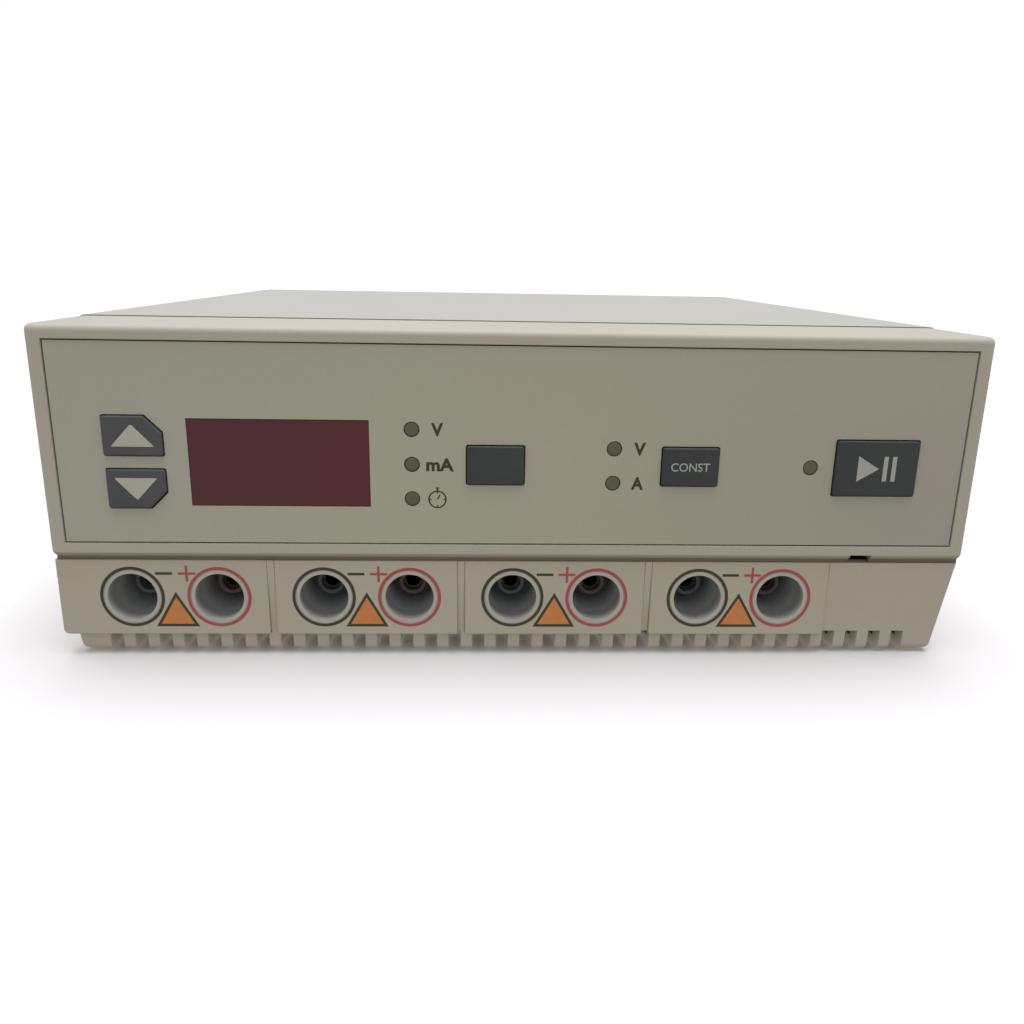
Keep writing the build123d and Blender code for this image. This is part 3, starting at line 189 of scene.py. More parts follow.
class Nodes:
    """Small helper that adds and links shader nodes."""

    def __init__(self, name):
        self.material = bpy.data.materials.new(name)
        self.material.use_nodes = True
        self.tree = self.material.node_tree
        self.shader = self.tree.nodes["Principled BSDF"]
        self.place = self.add("ShaderNodeTexCoord").outputs["Object"]

    def add(self, kind, **values):
        """A new node with its settings."""
        node = self.tree.nodes.new(kind)
        for key, value in values.items():
            setattr(node, key, value)
        return node

    def link(self, source, target):
        """Join an output to an input."""
        self.tree.links.new(source, target)

    def noise(self, scale, detail=3.0, roughness=0.5, stretch=None):
        """Noise in the piece's own place, finer along an axis whose stretch is larger."""
        node = self.add("ShaderNodeTexNoise")
        node.inputs["Scale"].default_value = scale
        node.inputs["Detail"].default_value = detail
        node.inputs["Roughness"].default_value = roughness
        if stretch:
            mapping = self.add("ShaderNodeMapping")
            mapping.inputs["Scale"].default_value = stretch
            self.link(self.place, mapping.inputs["Vector"])
            self.link(mapping.outputs["Vector"], node.inputs["Vector"])
        else:
            self.link(self.place, node.inputs["Vector"])
        return node.outputs["Fac"]

    def ramp(self, factor, stops):
        """Colour by position along a ramp of (position, colour) stops."""
        node = self.add("ShaderNodeValToRGB")
        elements = node.color_ramp.elements
        while len(elements) < len(stops):
            elements.new(0.5)
        for element, (position, colour) in zip(elements, stops):
            element.position = position
            element.color = colour
        self.link(factor, node.inputs["Fac"])
        return node.outputs["Color"]

    def mix(self, factor, first, second):
        """Blend two colours; each value is a socket to link or a constant."""
        node = self.add("ShaderNodeMix", data_type="RGBA")
        sockets = (node.inputs[0], node.inputs[6], node.inputs[7])
        for socket, value in zip(sockets, (factor, first, second)):
            if isinstance(value, (int, float, tuple)):
                socket.default_value = value
            else:
                self.link(value, socket)
        return node.outputs[2]

    def span(self, factor, low, high, out_low=0.0, out_high=1.0):
        """Map a value from low..high to out_low..out_high."""
        node = self.add("ShaderNodeMapRange")
        limits = {"From Min": low, "From Max": high, "To Min": out_low, "To Max": out_high}
        for name, value in limits.items():
            node.inputs[name].default_value = value
        self.link(factor, node.inputs["Value"])
        return node.outputs["Result"]

    def soft_edge(self, radius):
        """Normal that rounds the edges by a radius."""
        node = self.add("ShaderNodeBevel", samples=4)
        node.inputs["Radius"].default_value = radius
        return node.outputs["Normal"]

    def edge_mask(self, normal):
        """0 on flat faces, rising to 1 where the softened normal leaves the face's own."""
        geometry = self.add("ShaderNodeNewGeometry")
        dot = self.add("ShaderNodeVectorMath", operation="DOT_PRODUCT")
        self.link(normal, dot.inputs[0])
        self.link(geometry.outputs["Normal"], dot.inputs[1])
        return self.span(dot.outputs["Value"], 1.0, 0.75)

    def bump(self, height, distance, strength, normal):
        """Fine relief on top of a normal."""
        node = self.add("ShaderNodeBump")
        node.inputs["Strength"].default_value = strength
        node.inputs["Distance"].default_value = distance
        self.link(height, node.inputs["Height"])
        self.link(normal, node.inputs["Normal"])
        return node.outputs["Normal"]


def toned(colour, factor):
    """The colour made darker (below 1) or lighter (above 1)."""
    return tuple(c * factor for c in colour[:3]) + (1.0,)


def moulded_plastic(name, colour, aged, painted_shade=(), specular=0.42):
    """Textured moulded plastic: two tones of ageing, fine grain, faint scuffs, edges lightened as a
    painted highlight, and bands of painted shade.

    Each band of painted shade is an axis with the stops along it of how much of the shade's tone
    covers it.
    """
    n = Nodes(name)
    cloud = n.noise(9.0, detail=4.0, roughness=0.55)
    tone = n.mix(n.span(cloud, 0.38, 0.66), colour, aged)
    speckle = n.noise(900.0, detail=2.0, roughness=0.6)
    tone = n.mix(n.span(speckle, 0.35, 0.75, 0.0, 0.10), tone, toned(aged, 0.7))
    smear = n.noise(26.0, detail=5.0, roughness=0.6, stretch=(1.0, 1.0, 2.4))
    tone = n.mix(n.span(smear, 0.60, 0.80, 0.0, 0.5), tone, toned(aged, MOULD_SMEAR_TONE))
    normal = n.soft_edge(MOULD_EDGE)
    rim = n.edge_mask(normal)
    # edges lightened: a painted highlight
    tone = n.mix(n.span(rim, 0.0, 1.0, 0.0, 0.55), tone, toned(colour, MOULD_EDGE_HIGHLIGHT))
    # each band darkens the tone towards its colour: painted shade, not dirt
    for axis, stops, shade_tone in painted_shade:
        separate = n.add("ShaderNodeSeparateXYZ")
        n.link(n.place, separate.inputs["Vector"])
        low, high = stops[0][0], stops[-1][0]
        level = n.ramp(n.span(separate.outputs[axis], low, high), [
            ((place - low) / (high - low), (share, share, share, 1.0)) for place, share in stops
        ])
        tone = n.mix(level, tone, shade_tone)
    n.link(tone, n.shader.inputs["Base Color"])
    n.link(n.span(smear, 0.3, 0.8, 0.48, 0.62), n.shader.inputs["Roughness"])
    n.shader.inputs["Specular IOR Level"].default_value = specular
    texture = n.noise(2600.0, detail=2.0, roughness=0.5)
    n.link(n.bump(texture, MOULD_GRAIN, 1.0, normal), n.shader.inputs["Normal"])
    return n.material


def satin_plastic(name, colour, roughness, edge=0.2 * MM, edge_highlight=1.6):
    """Plain satin plastic with handling marks and edges lightened as a painted highlight."""
    n = Nodes(name)
    cloud = n.noise(60.0, detail=4.0, roughness=0.6)
    tone = n.mix(n.span(cloud, 0.35, 0.7), toned(colour, 0.88), toned(colour, 1.10))
    normal = n.soft_edge(edge)
    # edges lightened: a painted highlight
    tone = n.mix(n.span(n.edge_mask(normal), 0.0, 1.0, 0.0, 0.6), tone, toned(colour, edge_highlight))
    n.link(tone, n.shader.inputs["Base Color"])
    marks = n.noise(140.0, detail=5.0, roughness=0.65, stretch=(1.0, 1.0, 0.3))
    n.link(n.span(marks, 0.3, 0.75, roughness - 0.05, roughness + 0.12),
           n.shader.inputs["Roughness"])
    n.link(n.bump(n.noise(3200.0, detail=2.0), SATIN_GRAIN, 1.0, normal), n.shader.inputs["Normal"])
    return n.material


def powder_coat(name, colour, aged):
    """Powder-coated sheet metal: even tone with a fine orange peel and a few rubbed places."""
    n = Nodes(name)
    tone = n.mix(n.span(n.noise(12.0, detail=3.0, roughness=0.5), 0.3, 0.7), colour, aged)
    rub = n.noise(70.0, detail=5.0, roughness=0.7, stretch=(0.4, 1.0, 1.6))
    tone = n.mix(n.span(rub, 0.62, 0.80, 0.0, 0.35), tone, toned(aged, 0.86))
    normal = n.soft_edge(0.2 * MM)
    # edges lightened: a painted highlight
    tone = n.mix(n.span(n.edge_mask(normal), 0.0, 1.0, 0.0, 0.5), tone, toned(colour, 1.08))
    n.link(tone, n.shader.inputs["Base Color"])
    n.link(n.span(rub, 0.3, 0.8, 0.40, 0.52), n.shader.inputs["Roughness"])
    n.shader.inputs["Specular IOR Level"].default_value = 0.45
    peel = n.noise(750.0, detail=3.0, roughness=0.55)
    n.link(n.bump(peel, 0.02 * MM, 0.8, normal), n.shader.inputs["Normal"])
    return n.material


def printed_ink(name, colour):
    """Screen-printed ink: a little uneven in tone."""
    n = Nodes(name)
    patch = n.noise(700.0, detail=3.0, roughness=0.6)
    n.link(n.mix(n.span(patch, 0.3, 0.7), toned(colour, 0.95), toned(colour, 1.05)),
           n.shader.inputs["Base Color"])
    n.link(n.span(patch, 0.3, 0.7, 0.49, 0.61), n.shader.inputs["Roughness"])
    n.shader.inputs["Specular IOR Level"].default_value = 0.3
    return n.material


def metal(name, colour, roughness=0.32, stretch=(1.0, 1.0, 12.0)):
    """Drawn or plated metal with a fine directional grain."""
    n = Nodes(name)
    grain = n.noise(500.0, detail=3.0, roughness=0.6, stretch=stretch)
    n.link(n.mix(n.span(grain, 0.3, 0.7), toned(colour, 0.82), colour),
           n.shader.inputs["Base Color"])
    n.link(n.span(grain, 0.3, 0.7, roughness - 0.08, roughness + 0.10),
           n.shader.inputs["Roughness"])
    n.shader.inputs["Metallic"].default_value = 1.0
    n.link(n.bump(grain, 0.004 * MM, 1.0, n.soft_edge(0.15 * MM)), n.shader.inputs["Normal"])
    return n.material


def display_filter(name):
    """Dark red acrylic window: unlit, faintly redder towards its right end."""
    n = Nodes(name)
    low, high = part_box("display_window")
    separate = n.add("ShaderNodeSeparateXYZ")
    n.link(n.place, separate.inputs["Vector"])
    across = n.span(separate.outputs["X"], low.x, high.x)
    haze = n.noise(40.0, detail=3.0, roughness=0.5)
    tone = n.mix(across, srgb(96, 50, 60), srgb(104, 44, 54))
    tone = n.mix(n.span(haze, 0.0, 1.0, 0.0, 0.3), tone, srgb(108, 56, 64))
    n.link(tone, n.shader.inputs["Base Color"])
    n.link(n.span(haze, 0.0, 1.0, 0.24, 0.34), n.shader.inputs["Roughness"])
    n.shader.inputs["Specular IOR Level"].default_value = 0.4
    return n.material


def panel_film(name):
    """Matt printed film of the control panel, aged unevenly from its left to its right end."""
    n = Nodes(name)
    low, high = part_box("control_panel")
    separate = n.add("ShaderNodeSeparateXYZ")
    n.link(n.place, separate.inputs["Vector"])
    cloud = n.noise(7.0, detail=3.0, roughness=0.5)
    wander = n.add("ShaderNodeMath", operation="MULTIPLY_ADD")
    n.link(cloud, wander.inputs[0])
    wander.inputs[1].default_value = 0.3
    n.link(n.span(separate.outputs["X"], low.x, high.x, -0.15, 0.85), wander.inputs[2])
    tone = n.ramp(wander.outputs[0], (
        (0.0, srgb(195, 195, 186)),
        (0.35, srgb(198, 197, 180)),
        (0.6, srgb(197, 195, 178)),
        (0.95, srgb(189, 184, 177)),
    ))
    upper = n.span(separate.outputs["Z"], low.z, high.z, -0.3, 0.6)
    tone = n.mix(upper, tone, srgb(194, 192, 181))
    speckle = n.noise(1100.0, detail=2.0, roughness=0.6)
    tone = n.mix(n.span(speckle, 0.35, 0.75, 0.0, 0.08), tone, srgb(160, 156, 138))
    n.link(tone, n.shader.inputs["Base Color"])
    smear = n.noise(24.0, detail=5.0, roughness=0.6, stretch=(1.0, 1.0, 2.0))
    n.link(n.span(smear, 0.2, 0.8, 0.44, 0.58), n.shader.inputs["Roughness"])
    n.shader.inputs["Specular IOR Level"].default_value = 0.4
    texture = n.noise(2800.0, detail=2.0, roughness=0.5)
    n.link(n.bump(texture, 0.006 * MM, 1.0, n.soft_edge(0.15 * MM)), n.shader.inputs["Normal"])
    return n.material


def well_sleeve(name):
    """Light grey rim of a jack well, with painted shade a little way down its bore, painted light
    deeper in it, and flecks of dust.
    """
    n = Nodes(name)
    low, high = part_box("jack_sleeves")
    separate = n.add("ShaderNodeSeparateXYZ")
    n.link(n.place, separate.inputs["Vector"])
    depth = n.span(separate.outputs["Y"], low.y + SLEEVE_RAMP_START, low.y + SLEEVE_RAMP_END)
    dust = n.noise(180.0, detail=4.0, roughness=0.6)
    # painted shade just below the rim, then painted light towards the bore's far end
    tone = n.ramp(depth, (
        (0.0, srgb(206, 204, 199)),
        (0.25, srgb(176, 176, 174)),
        (0.5, srgb(164, 166, 168)),
        (1.0, srgb(206, 210, 216)),
    ))
    tone = n.mix(n.span(dust, 0.3, 0.8, 0.0, 0.15), tone, srgb(120, 114, 104))
    n.link(tone, n.shader.inputs["Base Color"])
    n.link(n.span(dust, 0.2, 0.8, 0.42, 0.56), n.shader.inputs["Roughness"])
    n.link(n.bump(n.noise(3000.0, detail=2.0), 0.004 * MM, 1.0, n.soft_edge(0.2 * MM)),
           n.shader.inputs["Normal"])
    return n.material


def circuit_board(name):
    """Solder mask with faint copper tracks under it."""
    n = Nodes(name)
    tracks = n.add("ShaderNodeTexBrick")
    tracks.inputs["Scale"].default_value = 160.0
    tracks.inputs["Mortar Size"].default_value = 0.03
    tracks.inputs["Color1"].default_value = srgb(24, 92, 48)
    tracks.inputs["Color2"].default_value = srgb(20, 82, 42)
    tracks.inputs["Mortar"].default_value = srgb(58, 128, 72)
    n.link(n.place, tracks.inputs["Vector"])
    n.link(tracks.outputs["Color"], n.shader.inputs["Base Color"])
    n.link(n.span(n.noise(80.0), 0.3, 0.7, 0.3, 0.42), n.shader.inputs["Roughness"])
    return n.material


def clear_glass(name):
    """Fuse glass with a slight tint."""
    n = Nodes(name)
    n.link(n.mix(n.span(n.noise(200.0), 0.3, 0.7), srgb(215, 222, 222), srgb(235, 240, 240)),
           n.shader.inputs["Base Color"])
    n.shader.inputs["Transmission Weight"].default_value = 0.85
    n.shader.inputs["Roughness"].default_value = 0.06
    return n.material


BEIGE = srgb(204, 200, 191)
BEIGE_AGED = srgb(200, 195, 183)
COVER = srgb(196, 196, 193)
COVER_AGED = srgb(196, 195, 189)


def dress_nodes():
    """Give each solid of the frame its finish."""
    # painted shade lies on the bezel's lip above the plates, and along the cover's seam
    joint_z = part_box("jack_plate_1")[1].z
    seam_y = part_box("front_bezel")[1].y
    bezel = moulded_plastic("bezel_plastic", BEIGE, BEIGE_AGED, painted_shade=[
        ("Z", (
            (joint_z - 0.2 * MM, 0.92),
            (joint_z + 0.75 * MM, 0.85),
            (joint_z + 1.1 * MM, 0.50),
            (joint_z + 2.15 * MM, 0.30),
            (joint_z + 2.3 * MM, 0.0),
        ), srgb(118, 108, 84)),
    ])
    plate = moulded_plastic("plate_plastic", srgb(205, 200, 188), srgb(202, 195, 180))
    tray = moulded_plastic("tray_plastic", srgb(208, 202, 194), srgb(204, 197, 186))
    cover = moulded_plastic("cover_plastic", COVER, COVER_AGED, painted_shade=[
        # the cover darkened at its front edge: painted shade in the step of the seam
        ("Y", ((seam_y - 0.05 * MM, 0.8), (seam_y + 0.25 * MM, 0.0)), srgb(104, 94, 76)),
    ], specular=0.25)
    panel = panel_film("panel_film")
    sleeve = well_sleeve("sleeve_plastic")
    black = satin_plastic("black_plastic", srgb(30, 30, 32), 0.42)
    finishes = {
        "base": tray,
        "front_bezel": bezel,
        "top_cover": cover,
        "control_panel": panel,
        "jack_plate_1": plate,
        "jack_plate_2": plate,
        "jack_plate_3": plate,
        "jack_plate_4": plate,
        "jack_sleeves": sleeve,
        # the sockets' black and red are lifted to light greys: painted light at the bottom of the
        # wells
        "sockets_negative": satin_plastic("socket_black_painted_light", srgb(124, 129, 137), 0.6, edge_highlight=1.0),
        "sockets_positive": satin_plastic("socket_red_painted_light", srgb(130, 116, 115), 0.6, edge_highlight=1.0),
        "key_up": satin_plastic("key_slate", srgb(89, 91, 99), 0.48, edge=0.35 * MM,
                                edge_highlight=1.15),
        "key_select": satin_plastic("key_charcoal", srgb(65, 71, 75), 0.48, edge=0.35 * MM,
                                    edge_highlight=1.2),
        "display_window": display_filter("display_filter"),
        "indicator_leds": satin_plastic("led_lens", srgb(113, 111, 96), 0.5, edge=0.3 * MM,
                                        edge_highlight=1.05),
        "rear_panel": powder_coat("rear_paint", srgb(199, 195, 184), srgb(193, 188, 174)),
        "rubber_feet": satin_plastic("foot_rubber", srgb(38, 38, 38), 0.75, edge_highlight=1.2),
        "housing_screws": metal("zinc_plate", srgb(176, 176, 172)),
        # the contacts' brass is darkened to a dull tone: painted shade deep in the wells
        "socket_contacts": metal("contact_brass_shaded", srgb(112, 101, 80), 0.5),
        "bus_bar_negative": metal("bar_brass", srgb(205, 178, 112), 0.25),
        "inlet_pins": metal("pin_nickel", srgb(196, 192, 184), 0.25),
        "control_board": circuit_board("circuit_board"),
        "heat_sink": metal("sink_aluminium", srgb(178, 180, 182), 0.4),
        "transformer_core": metal("core_steel", srgb(92, 92, 96), 0.55, (1.0, 30.0, 1.0)),
        "transformer_windings": satin_plastic("winding_tape", srgb(204, 172, 78), 0.4),
        "filter_choke": satin_plastic("choke_copper", srgb(150, 84, 44), 0.35),
        "ribbon_cable": satin_plastic("ribbon_grey", srgb(150, 150, 150), 0.45),
        "output_lead_positive": satin_plastic("lead_red", srgb(150, 30, 26), 0.45),
        "fuse": clear_glass("fuse_glass"),
        "switch_plunger_up": satin_plastic("plunger_white", srgb(224, 222, 214), 0.4),
    }
    same_as = {
        "key_down": "key_up",
        "key_constant": "key_select",
        "key_run": "key_select",
        "rear_panel_screws": "housing_screws",
        "fan_screws": "housing_screws",
        "board_screws": "housing_screws",
        "chassis_screws": "housing_screws",
        "transformer_bracket": "housing_screws",
        "bulk_capacitors": "heat_sink",
        "contact_nuts": "bus_bar_negative",
        "bus_bar_positive": "bus_bar_negative",
        "main_board": "control_board",
        "switch_plunger_down": "switch_plunger_up",
        "switch_plunger_select": "switch_plunger_up",
        "switch_plunger_constant": "switch_plunger_up",
        "switch_plunger_run": "switch_plunger_up",
    }
    for name, node in nodes.items():
        finish = finishes.get(same_as.get(name, name), black)
        node.data.materials.clear()
        node.data.materials.append(finish)
        for polygon in node.data.polygons:
            polygon.use_smooth = False


def add_mesh(name, mesh, material, body):
    """Put a finished mesh in the scene, on its body."""
    mesh.materials.clear()
    mesh.materials.append(material)
    piece = bpy.data.objects.new(name, mesh)
    bpy.context.scene.collection.objects.link(piece)
    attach(piece, body)
    return piece


def thick_print(name, outlines, face_y, material, body):
    """Flat shapes printed on a face that looks towards the front; outlines are lists of (x, z)."""
    build = bmesh.new()
    for outline in outlines:
        face = build.faces.new([build.verts.new((x, face_y + PRINT_SINK, z)) for x, z in outline])
        swept = bmesh.ops.extrude_face_region(build, geom=[face])
        moved = [v for v in swept["geom"] if isinstance(v, bmesh.types.BMVert)]
        bmesh.ops.translate(build, verts=moved, vec=(0, -PRINT_THICKNESS, 0))
    bmesh.ops.recalc_face_normals(build, faces=build.faces)
    mesh = bpy.data.meshes.new(name)
    build.to_mesh(mesh)
    build.free()
    return add_mesh(name, mesh, material, body)


def ring_print(name, centre, inner, outer, face_y, material, body="housing"):
    """A printed ring as one closed band."""
    build = bmesh.new()
    loops = []
    for radius, y in ((inner, 0), (outer, 0), (outer, -PRINT_THICKNESS), (inner, -PRINT_THICKNESS)):
        loops.append([
            build.verts.new((
                centre[0] + radius * math.cos(2 * math.pi * i / RING_STEPS),
                face_y + PRINT_SINK + y,
                centre[1] + radius * math.sin(2 * math.pi * i / RING_STEPS),
            ))
            for i in range(RING_STEPS)
        ])
    for first, second in zip(loops, loops[1:] + loops[:1]):
        for i in range(RING_STEPS):
            j = (i + 1) % RING_STEPS
            build.faces.new((first[i], first[j], second[j], second[i]))
    bmesh.ops.recalc_face_normals(build, faces=build.faces)
    mesh = bpy.data.meshes.new(name)
    build.to_mesh(mesh)
    build.free()
    return add_mesh(name, mesh, material, body)


def bar(x, z, wide, high):
    """A rectangle's outline about its middle."""
    return [(x - wide / 2, z - high / 2), (x + wide / 2, z - high / 2),
            (x + wide / 2, z + high / 2), (x - wide / 2, z + high / 2)]


def spoke(centre, angle, start, end, wide):
    """The outline of a short line that points away from a centre."""
    x, z = centre
    across = (-math.sin(angle) * wide / 2, math.cos(angle) * wide / 2)
    return [(x + reach * math.cos(angle) + side * across[0],
             z + reach * math.sin(angle) + side * across[1])
            for reach, side in ((start, -1), (end, -1), (end, 1), (start, 1))]


def triangle(middle, half_width):
    """An upright triangle's corners about the middle of its inscribed circle."""
    x, z = middle
    low = z - half_width / math.sqrt(3)
    return [(x - half_width, low), (x + half_width, low), (x, low + math.sqrt(3) * half_width)]


def lettering(name, text, centre, cap_height, face_y, material, body, weight, width):
    """Flat lettering, centred on a point and scaled to its capital height and its width."""
    curve = bpy.data.curves.new(name, "FONT")
    curve.body = text
    curve.size = cap_height / CAPITAL_SHARE
    curve.offset = weight
    curve.extrude = PRINT_THICKNESS / 2
    curve.resolution_u = LETTER_RESOLUTION
    holder = bpy.data.objects.new(name + "_curve", curve)
    bpy.context.scene.collection.objects.link(holder)
    bpy.context.view_layer.update()
    shape = holder.evaluated_get(bpy.context.evaluated_depsgraph_get())
    mesh = bpy.data.meshes.new_from_object(shape)
    bpy.data.objects.remove(holder)
    xs = [v.co.x for v in mesh.vertices]
    ys = [v.co.y for v in mesh.vertices]
    spread = width / (max(xs) - min(xs))
    middle_x = (max(xs) + min(xs)) / 2
    middle_y = (max(ys) + min(ys)) / 2
    for v in mesh.vertices:
        x, y, z = v.co
        v.co = (
            centre[0] + (x - middle_x) * spread,
            face_y + PRINT_SINK - PRINT_THICKNESS / 2 - z,
            centre[1] + (y - middle_y),
        )
    mesh.name = name
    return add_mesh(name, mesh, material, body)


def well_centre(sign, index):
    """Middle of a jack well, seen from the front."""
    x, _y, z = mounts[f"output_{sign}_{index}"]["pos_m"]
    return x, z


def print_plates():
    """Rings, signs and triangles on the four output plates."""
    black = printed_ink("ink_black", srgb(78, 75, 62))
    red = printed_ink("ink_red", srgb(192, 94, 98))
    orange = printed_ink("ink_orange", srgb(232, 148, 92))
    face_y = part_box("jack_plate_2")[0].y
    for index in range(1, PLATE_COUNT + 1):
        black_x, well_z = well_centre("negative", index)
        red_x, _z = well_centre("positive", index)
        for sign, x, ink in (("negative", black_x, black), ("positive", red_x, red)):
            ring_print(f"ring_{sign}_{index}", (x, well_z), RING_INNER, RING_OUTER, face_y, ink)
        sign_z = well_z + SIGN_RISE
        thick_print(
            f"minus_{index}",
            [bar(black_x + MINUS_ACROSS, sign_z, MINUS_WIDTH, MINUS_STROKE)],
            face_y, black, "housing")
        plus_x = black_x + PLUS_ACROSS
        arm_rise = (PLUS_STROKE + PLUS_ARM) / 2
        thick_print(
            f"plus_{index}",
            [bar(plus_x, sign_z, PLUS_WIDTH, PLUS_STROKE),
             bar(plus_x, sign_z + arm_rise, PLUS_STROKE, PLUS_ARM),
             bar(plus_x, sign_z - arm_rise, PLUS_STROKE, PLUS_ARM)],
            face_y, red, "housing")
        middle = (black_x + TRIANGLE_ACROSS, well_z - TRIANGLE_DROP)
        outer = triangle(middle, TRIANGLE_HALF)
        inner = triangle(middle, TRIANGLE_HALF - TRIANGLE_BORDER)
        thick_print(f"triangle_{index}", [inner], face_y, orange, "housing")
        thick_print(
            f"triangle_border_{index}",
            [[outer[i], outer[i - 2], inner[i - 2], inner[i]] for i in range(3)],
            face_y, black, "housing")


def print_panel():
    """Unit letters and the clock sign beside the lamps."""
    dark = printed_ink("ink_olive", srgb(74, 72, 60))
    face_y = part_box("control_panel")[0].y
    row_z = (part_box("key_select")[0].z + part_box("key_select")[1].z) / 2
    for name, text, x, rows, width in PANEL_LETTERS:
        lettering(name, text, (x, row_z + rows * ROW_PITCH), LETTER_HEIGHT, face_y, dark, "housing",
                  LETTER_WEIGHT, width)
    centre = (CLOCK_ACROSS, row_z - ROW_PITCH - CLOCK_DROP)
    rim = CLOCK_RADIUS
    ring_print("clock_ring", centre, rim - CLOCK_LINE, rim, face_y, dark)
    quarter = math.pi / 2
    marks = [spoke(centre, i * quarter, rim - CLOCK_TICK, rim - CLOCK_LINE, CLOCK_LINE)
             for i in range(4)]
    marks.append(spoke(centre, CLOCK_HAND_ANGLE, 0.0, CLOCK_HAND, CLOCK_LINE))
    marks.append(spoke(centre, quarter, rim, rim + CLOCK_STEM, CLOCK_STEM_WIDTH))
    marks.append(spoke(centre, quarter, rim + CLOCK_STEM, rim + CLOCK_KNOB, CLOCK_KNOB_WIDTH))
    thick_print("clock_marks", marks, face_y, dark, "housing")


def key_middle(name):
    """Middle of a key's front face."""
    low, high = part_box(name)
    return (low.x + high.x) / 2, (low.z + high.z) / 2, low.y


def arrow(x, base_z, way):
    """A wide arrow head with blunt corners, from its base line up (1) or down (-1)."""
    shoulder = ARROW_HALF - ARROW_INSET
    edge_z = base_z + way * ARROW_BLUNT
    tip_z = base_z + way * (ARROW_TALL - ARROW_BLUNT * ARROW_TALL / ARROW_HALF)
    return [
        (x - ARROW_HALF, base_z),
        (x + ARROW_HALF, base_z),
        (x + shoulder, edge_z),
        (x + ARROW_BLUNT, tip_z),
        (x - ARROW_BLUNT, tip_z),
        (x - shoulder, edge_z),
    ]


def print_keys():
    """Arrows, the word on the constant key and the start and pause sign on the run key."""
    pale = printed_ink("ink_pale", srgb(205, 203, 196))
    word = printed_ink("ink_word", srgb(192, 193, 192))
    x, z, y = key_middle("key_up")
    thick_print("arrow_up", [arrow(x, z + ARROW_UP_BASE, 1)], y, pale, "key_up")
    x, z, y = key_middle("key_down")
    thick_print("arrow_down", [arrow(x, z + ARROW_DOWN_BASE, -1)], y, pale, "key_down")
    x, z, y = key_middle("key_constant")
    lettering("word_constant", "CONST", (x, z), WORD_HEIGHT, y, word, "key_constant",
              WORD_WEIGHT, WORD_WIDTH)
    x, z, y = key_middle("key_run")
    start = [(x + START_LEFT, z - START_HALF), (x + START_TIP, z), (x + START_LEFT, z + START_HALF)]
    thick_print(
        "run_sign",
        [start,
         bar(x + PAUSE_LEFT, z, PAUSE_WIDTH, PAUSE_HEIGHT),
         bar(x + PAUSE_RIGHT, z, PAUSE_WIDTH, PAUSE_HEIGHT)],
        y, word, "key_run")


def rocker_face(upper):
    """Placement on one of the mains rocker's two faces: its outward way takes the prints' front."""
    faces = [p for p in nodes["rocker"].data.polygons if p.normal.y > ROCKER_FACE_TURN]
    faces = [p for p in faces if (p.normal.z < ROCKER_FACE_SPLIT) == upper]
    # the pins' narrow facets look the same way, so only the large ones count
    largest = max(p.area for p in faces)
    faces = [p for p in faces if p.area > largest / 2]
    area = sum(p.area for p in faces)
    centre = sum((p.center * p.area for p in faces), Vector()) / area
    normal = sum((p.normal * p.area for p in faces), Vector()).normalized()
    side = Vector((-1, 0, 0))
    up = side.cross(-normal)
    return Matrix.Translation(centre) @ Matrix((side, -normal, up)).transposed().to_4x4()


def print_rocker():
    """The generic on and off marks of a mains switch."""
    white = printed_ink("ink_white", srgb(214, 214, 208))
    on = thick_print("mark_on", [bar(0, 0, ON_WIDTH, ON_HEIGHT)], 0, white, "rocker")
    on.data.transform(rocker_face(True))
    off = ring_print("mark_off", (0, 0), OFF_INNER, OFF_OUTER, 0, white, "rocker")
    off.data.transform(rocker_face(False))


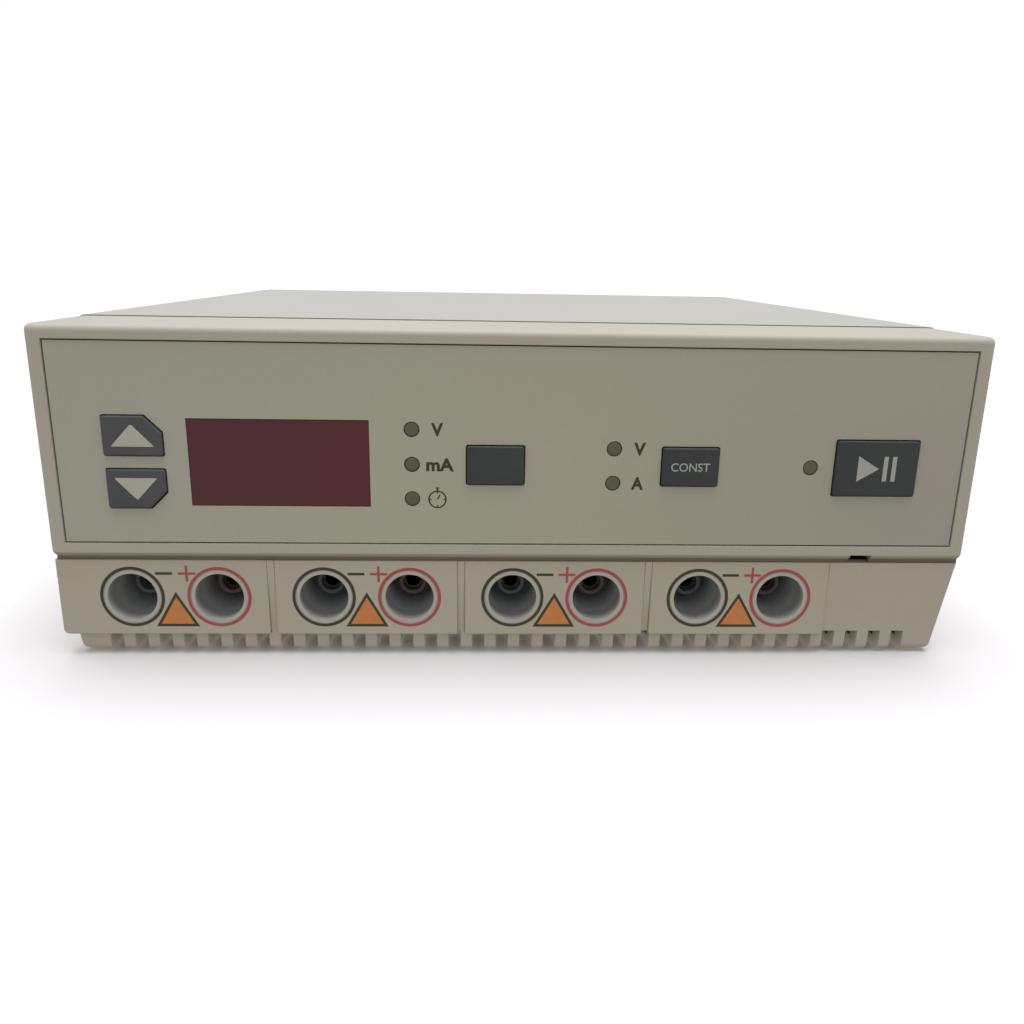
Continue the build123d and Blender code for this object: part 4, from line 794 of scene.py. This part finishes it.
def make_stage():
    """Pale floor and soft studio light."""
    build = bmesh.new()
    bmesh.ops.create_grid(build, x_segments=1, y_segments=1, size=FLOOR_SIZE)
    mesh = bpy.data.meshes.new("floor")
    build.to_mesh(mesh)
    build.free()
    n = Nodes("floor_paper")
    n.link(n.mix(n.noise(3.0), srgb(250, 250, 253), srgb(252, 252, 255)),
           n.shader.inputs["Base Color"])
    n.shader.inputs["Roughness"].default_value = 0.9
    n.shader.inputs["Specular IOR Level"].default_value = 0.1
    mesh.materials.append(n.material)
    floor = bpy.data.objects.new("floor", mesh)
    bpy.context.scene.collection.objects.link(floor)

    # the floor takes the shadow, but neither lights the unit nor mirrors in it
    floor.visible_diffuse = False
    floor.visible_glossy = False

    world = bpy.data.worlds.new("studio")
    world.use_nodes = True
    tree = world.node_tree
    background = tree.nodes["Background"]
    direction = tree.nodes.new("ShaderNodeTexCoord")
    separate = tree.nodes.new("ShaderNodeSeparateXYZ")
    height = tree.nodes.new("ShaderNodeMapRange")
    height.inputs["From Min"].default_value = -1.0
    sky = tree.nodes.new("ShaderNodeValToRGB")
    stops = sky.color_ramp.elements
    stops.new(0.5)
    for stop, (position, colour) in zip(stops, SOFT_BOX):
        stop.position = position
        stop.color = colour
    tree.links.new(direction.outputs["Generated"], separate.inputs["Vector"])
    tree.links.new(separate.outputs["Z"], height.inputs["Value"])
    tree.links.new(height.outputs["Result"], sky.inputs["Fac"])
    tree.links.new(sky.outputs["Color"], background.inputs["Color"])
    # the camera sees plain white past the floor's edge
    seen = tree.nodes.new("ShaderNodeBackground")
    seen.inputs["Color"].default_value = (1.0, 1.0, 1.0, 1.0)
    path = tree.nodes.new("ShaderNodeLightPath")
    mix = tree.nodes.new("ShaderNodeMixShader")
    tree.links.new(path.outputs["Is Camera Ray"], mix.inputs["Fac"])
    tree.links.new(background.outputs["Background"], mix.inputs[1])
    tree.links.new(seen.outputs["Background"], mix.inputs[2])
    tree.links.new(mix.outputs["Shader"], tree.nodes["World Output"].inputs["Surface"])
    bpy.context.scene.world = world

    data = bpy.data.lights.new("overhead", "SUN")
    data.energy = SUN_ENERGY
    data.angle = SUN_ANGLE
    data.color = SUN_COLOUR
    light = bpy.data.objects.new("overhead", data)
    light.rotation_euler = SUN_TURN
    bpy.context.scene.collection.objects.link(light)


bpy.context.scene.view_settings.view_transform = "Standard"
make_camera()
make_stage()
dress_nodes()
print_plates()
print_panel()
print_keys()
print_rocker()
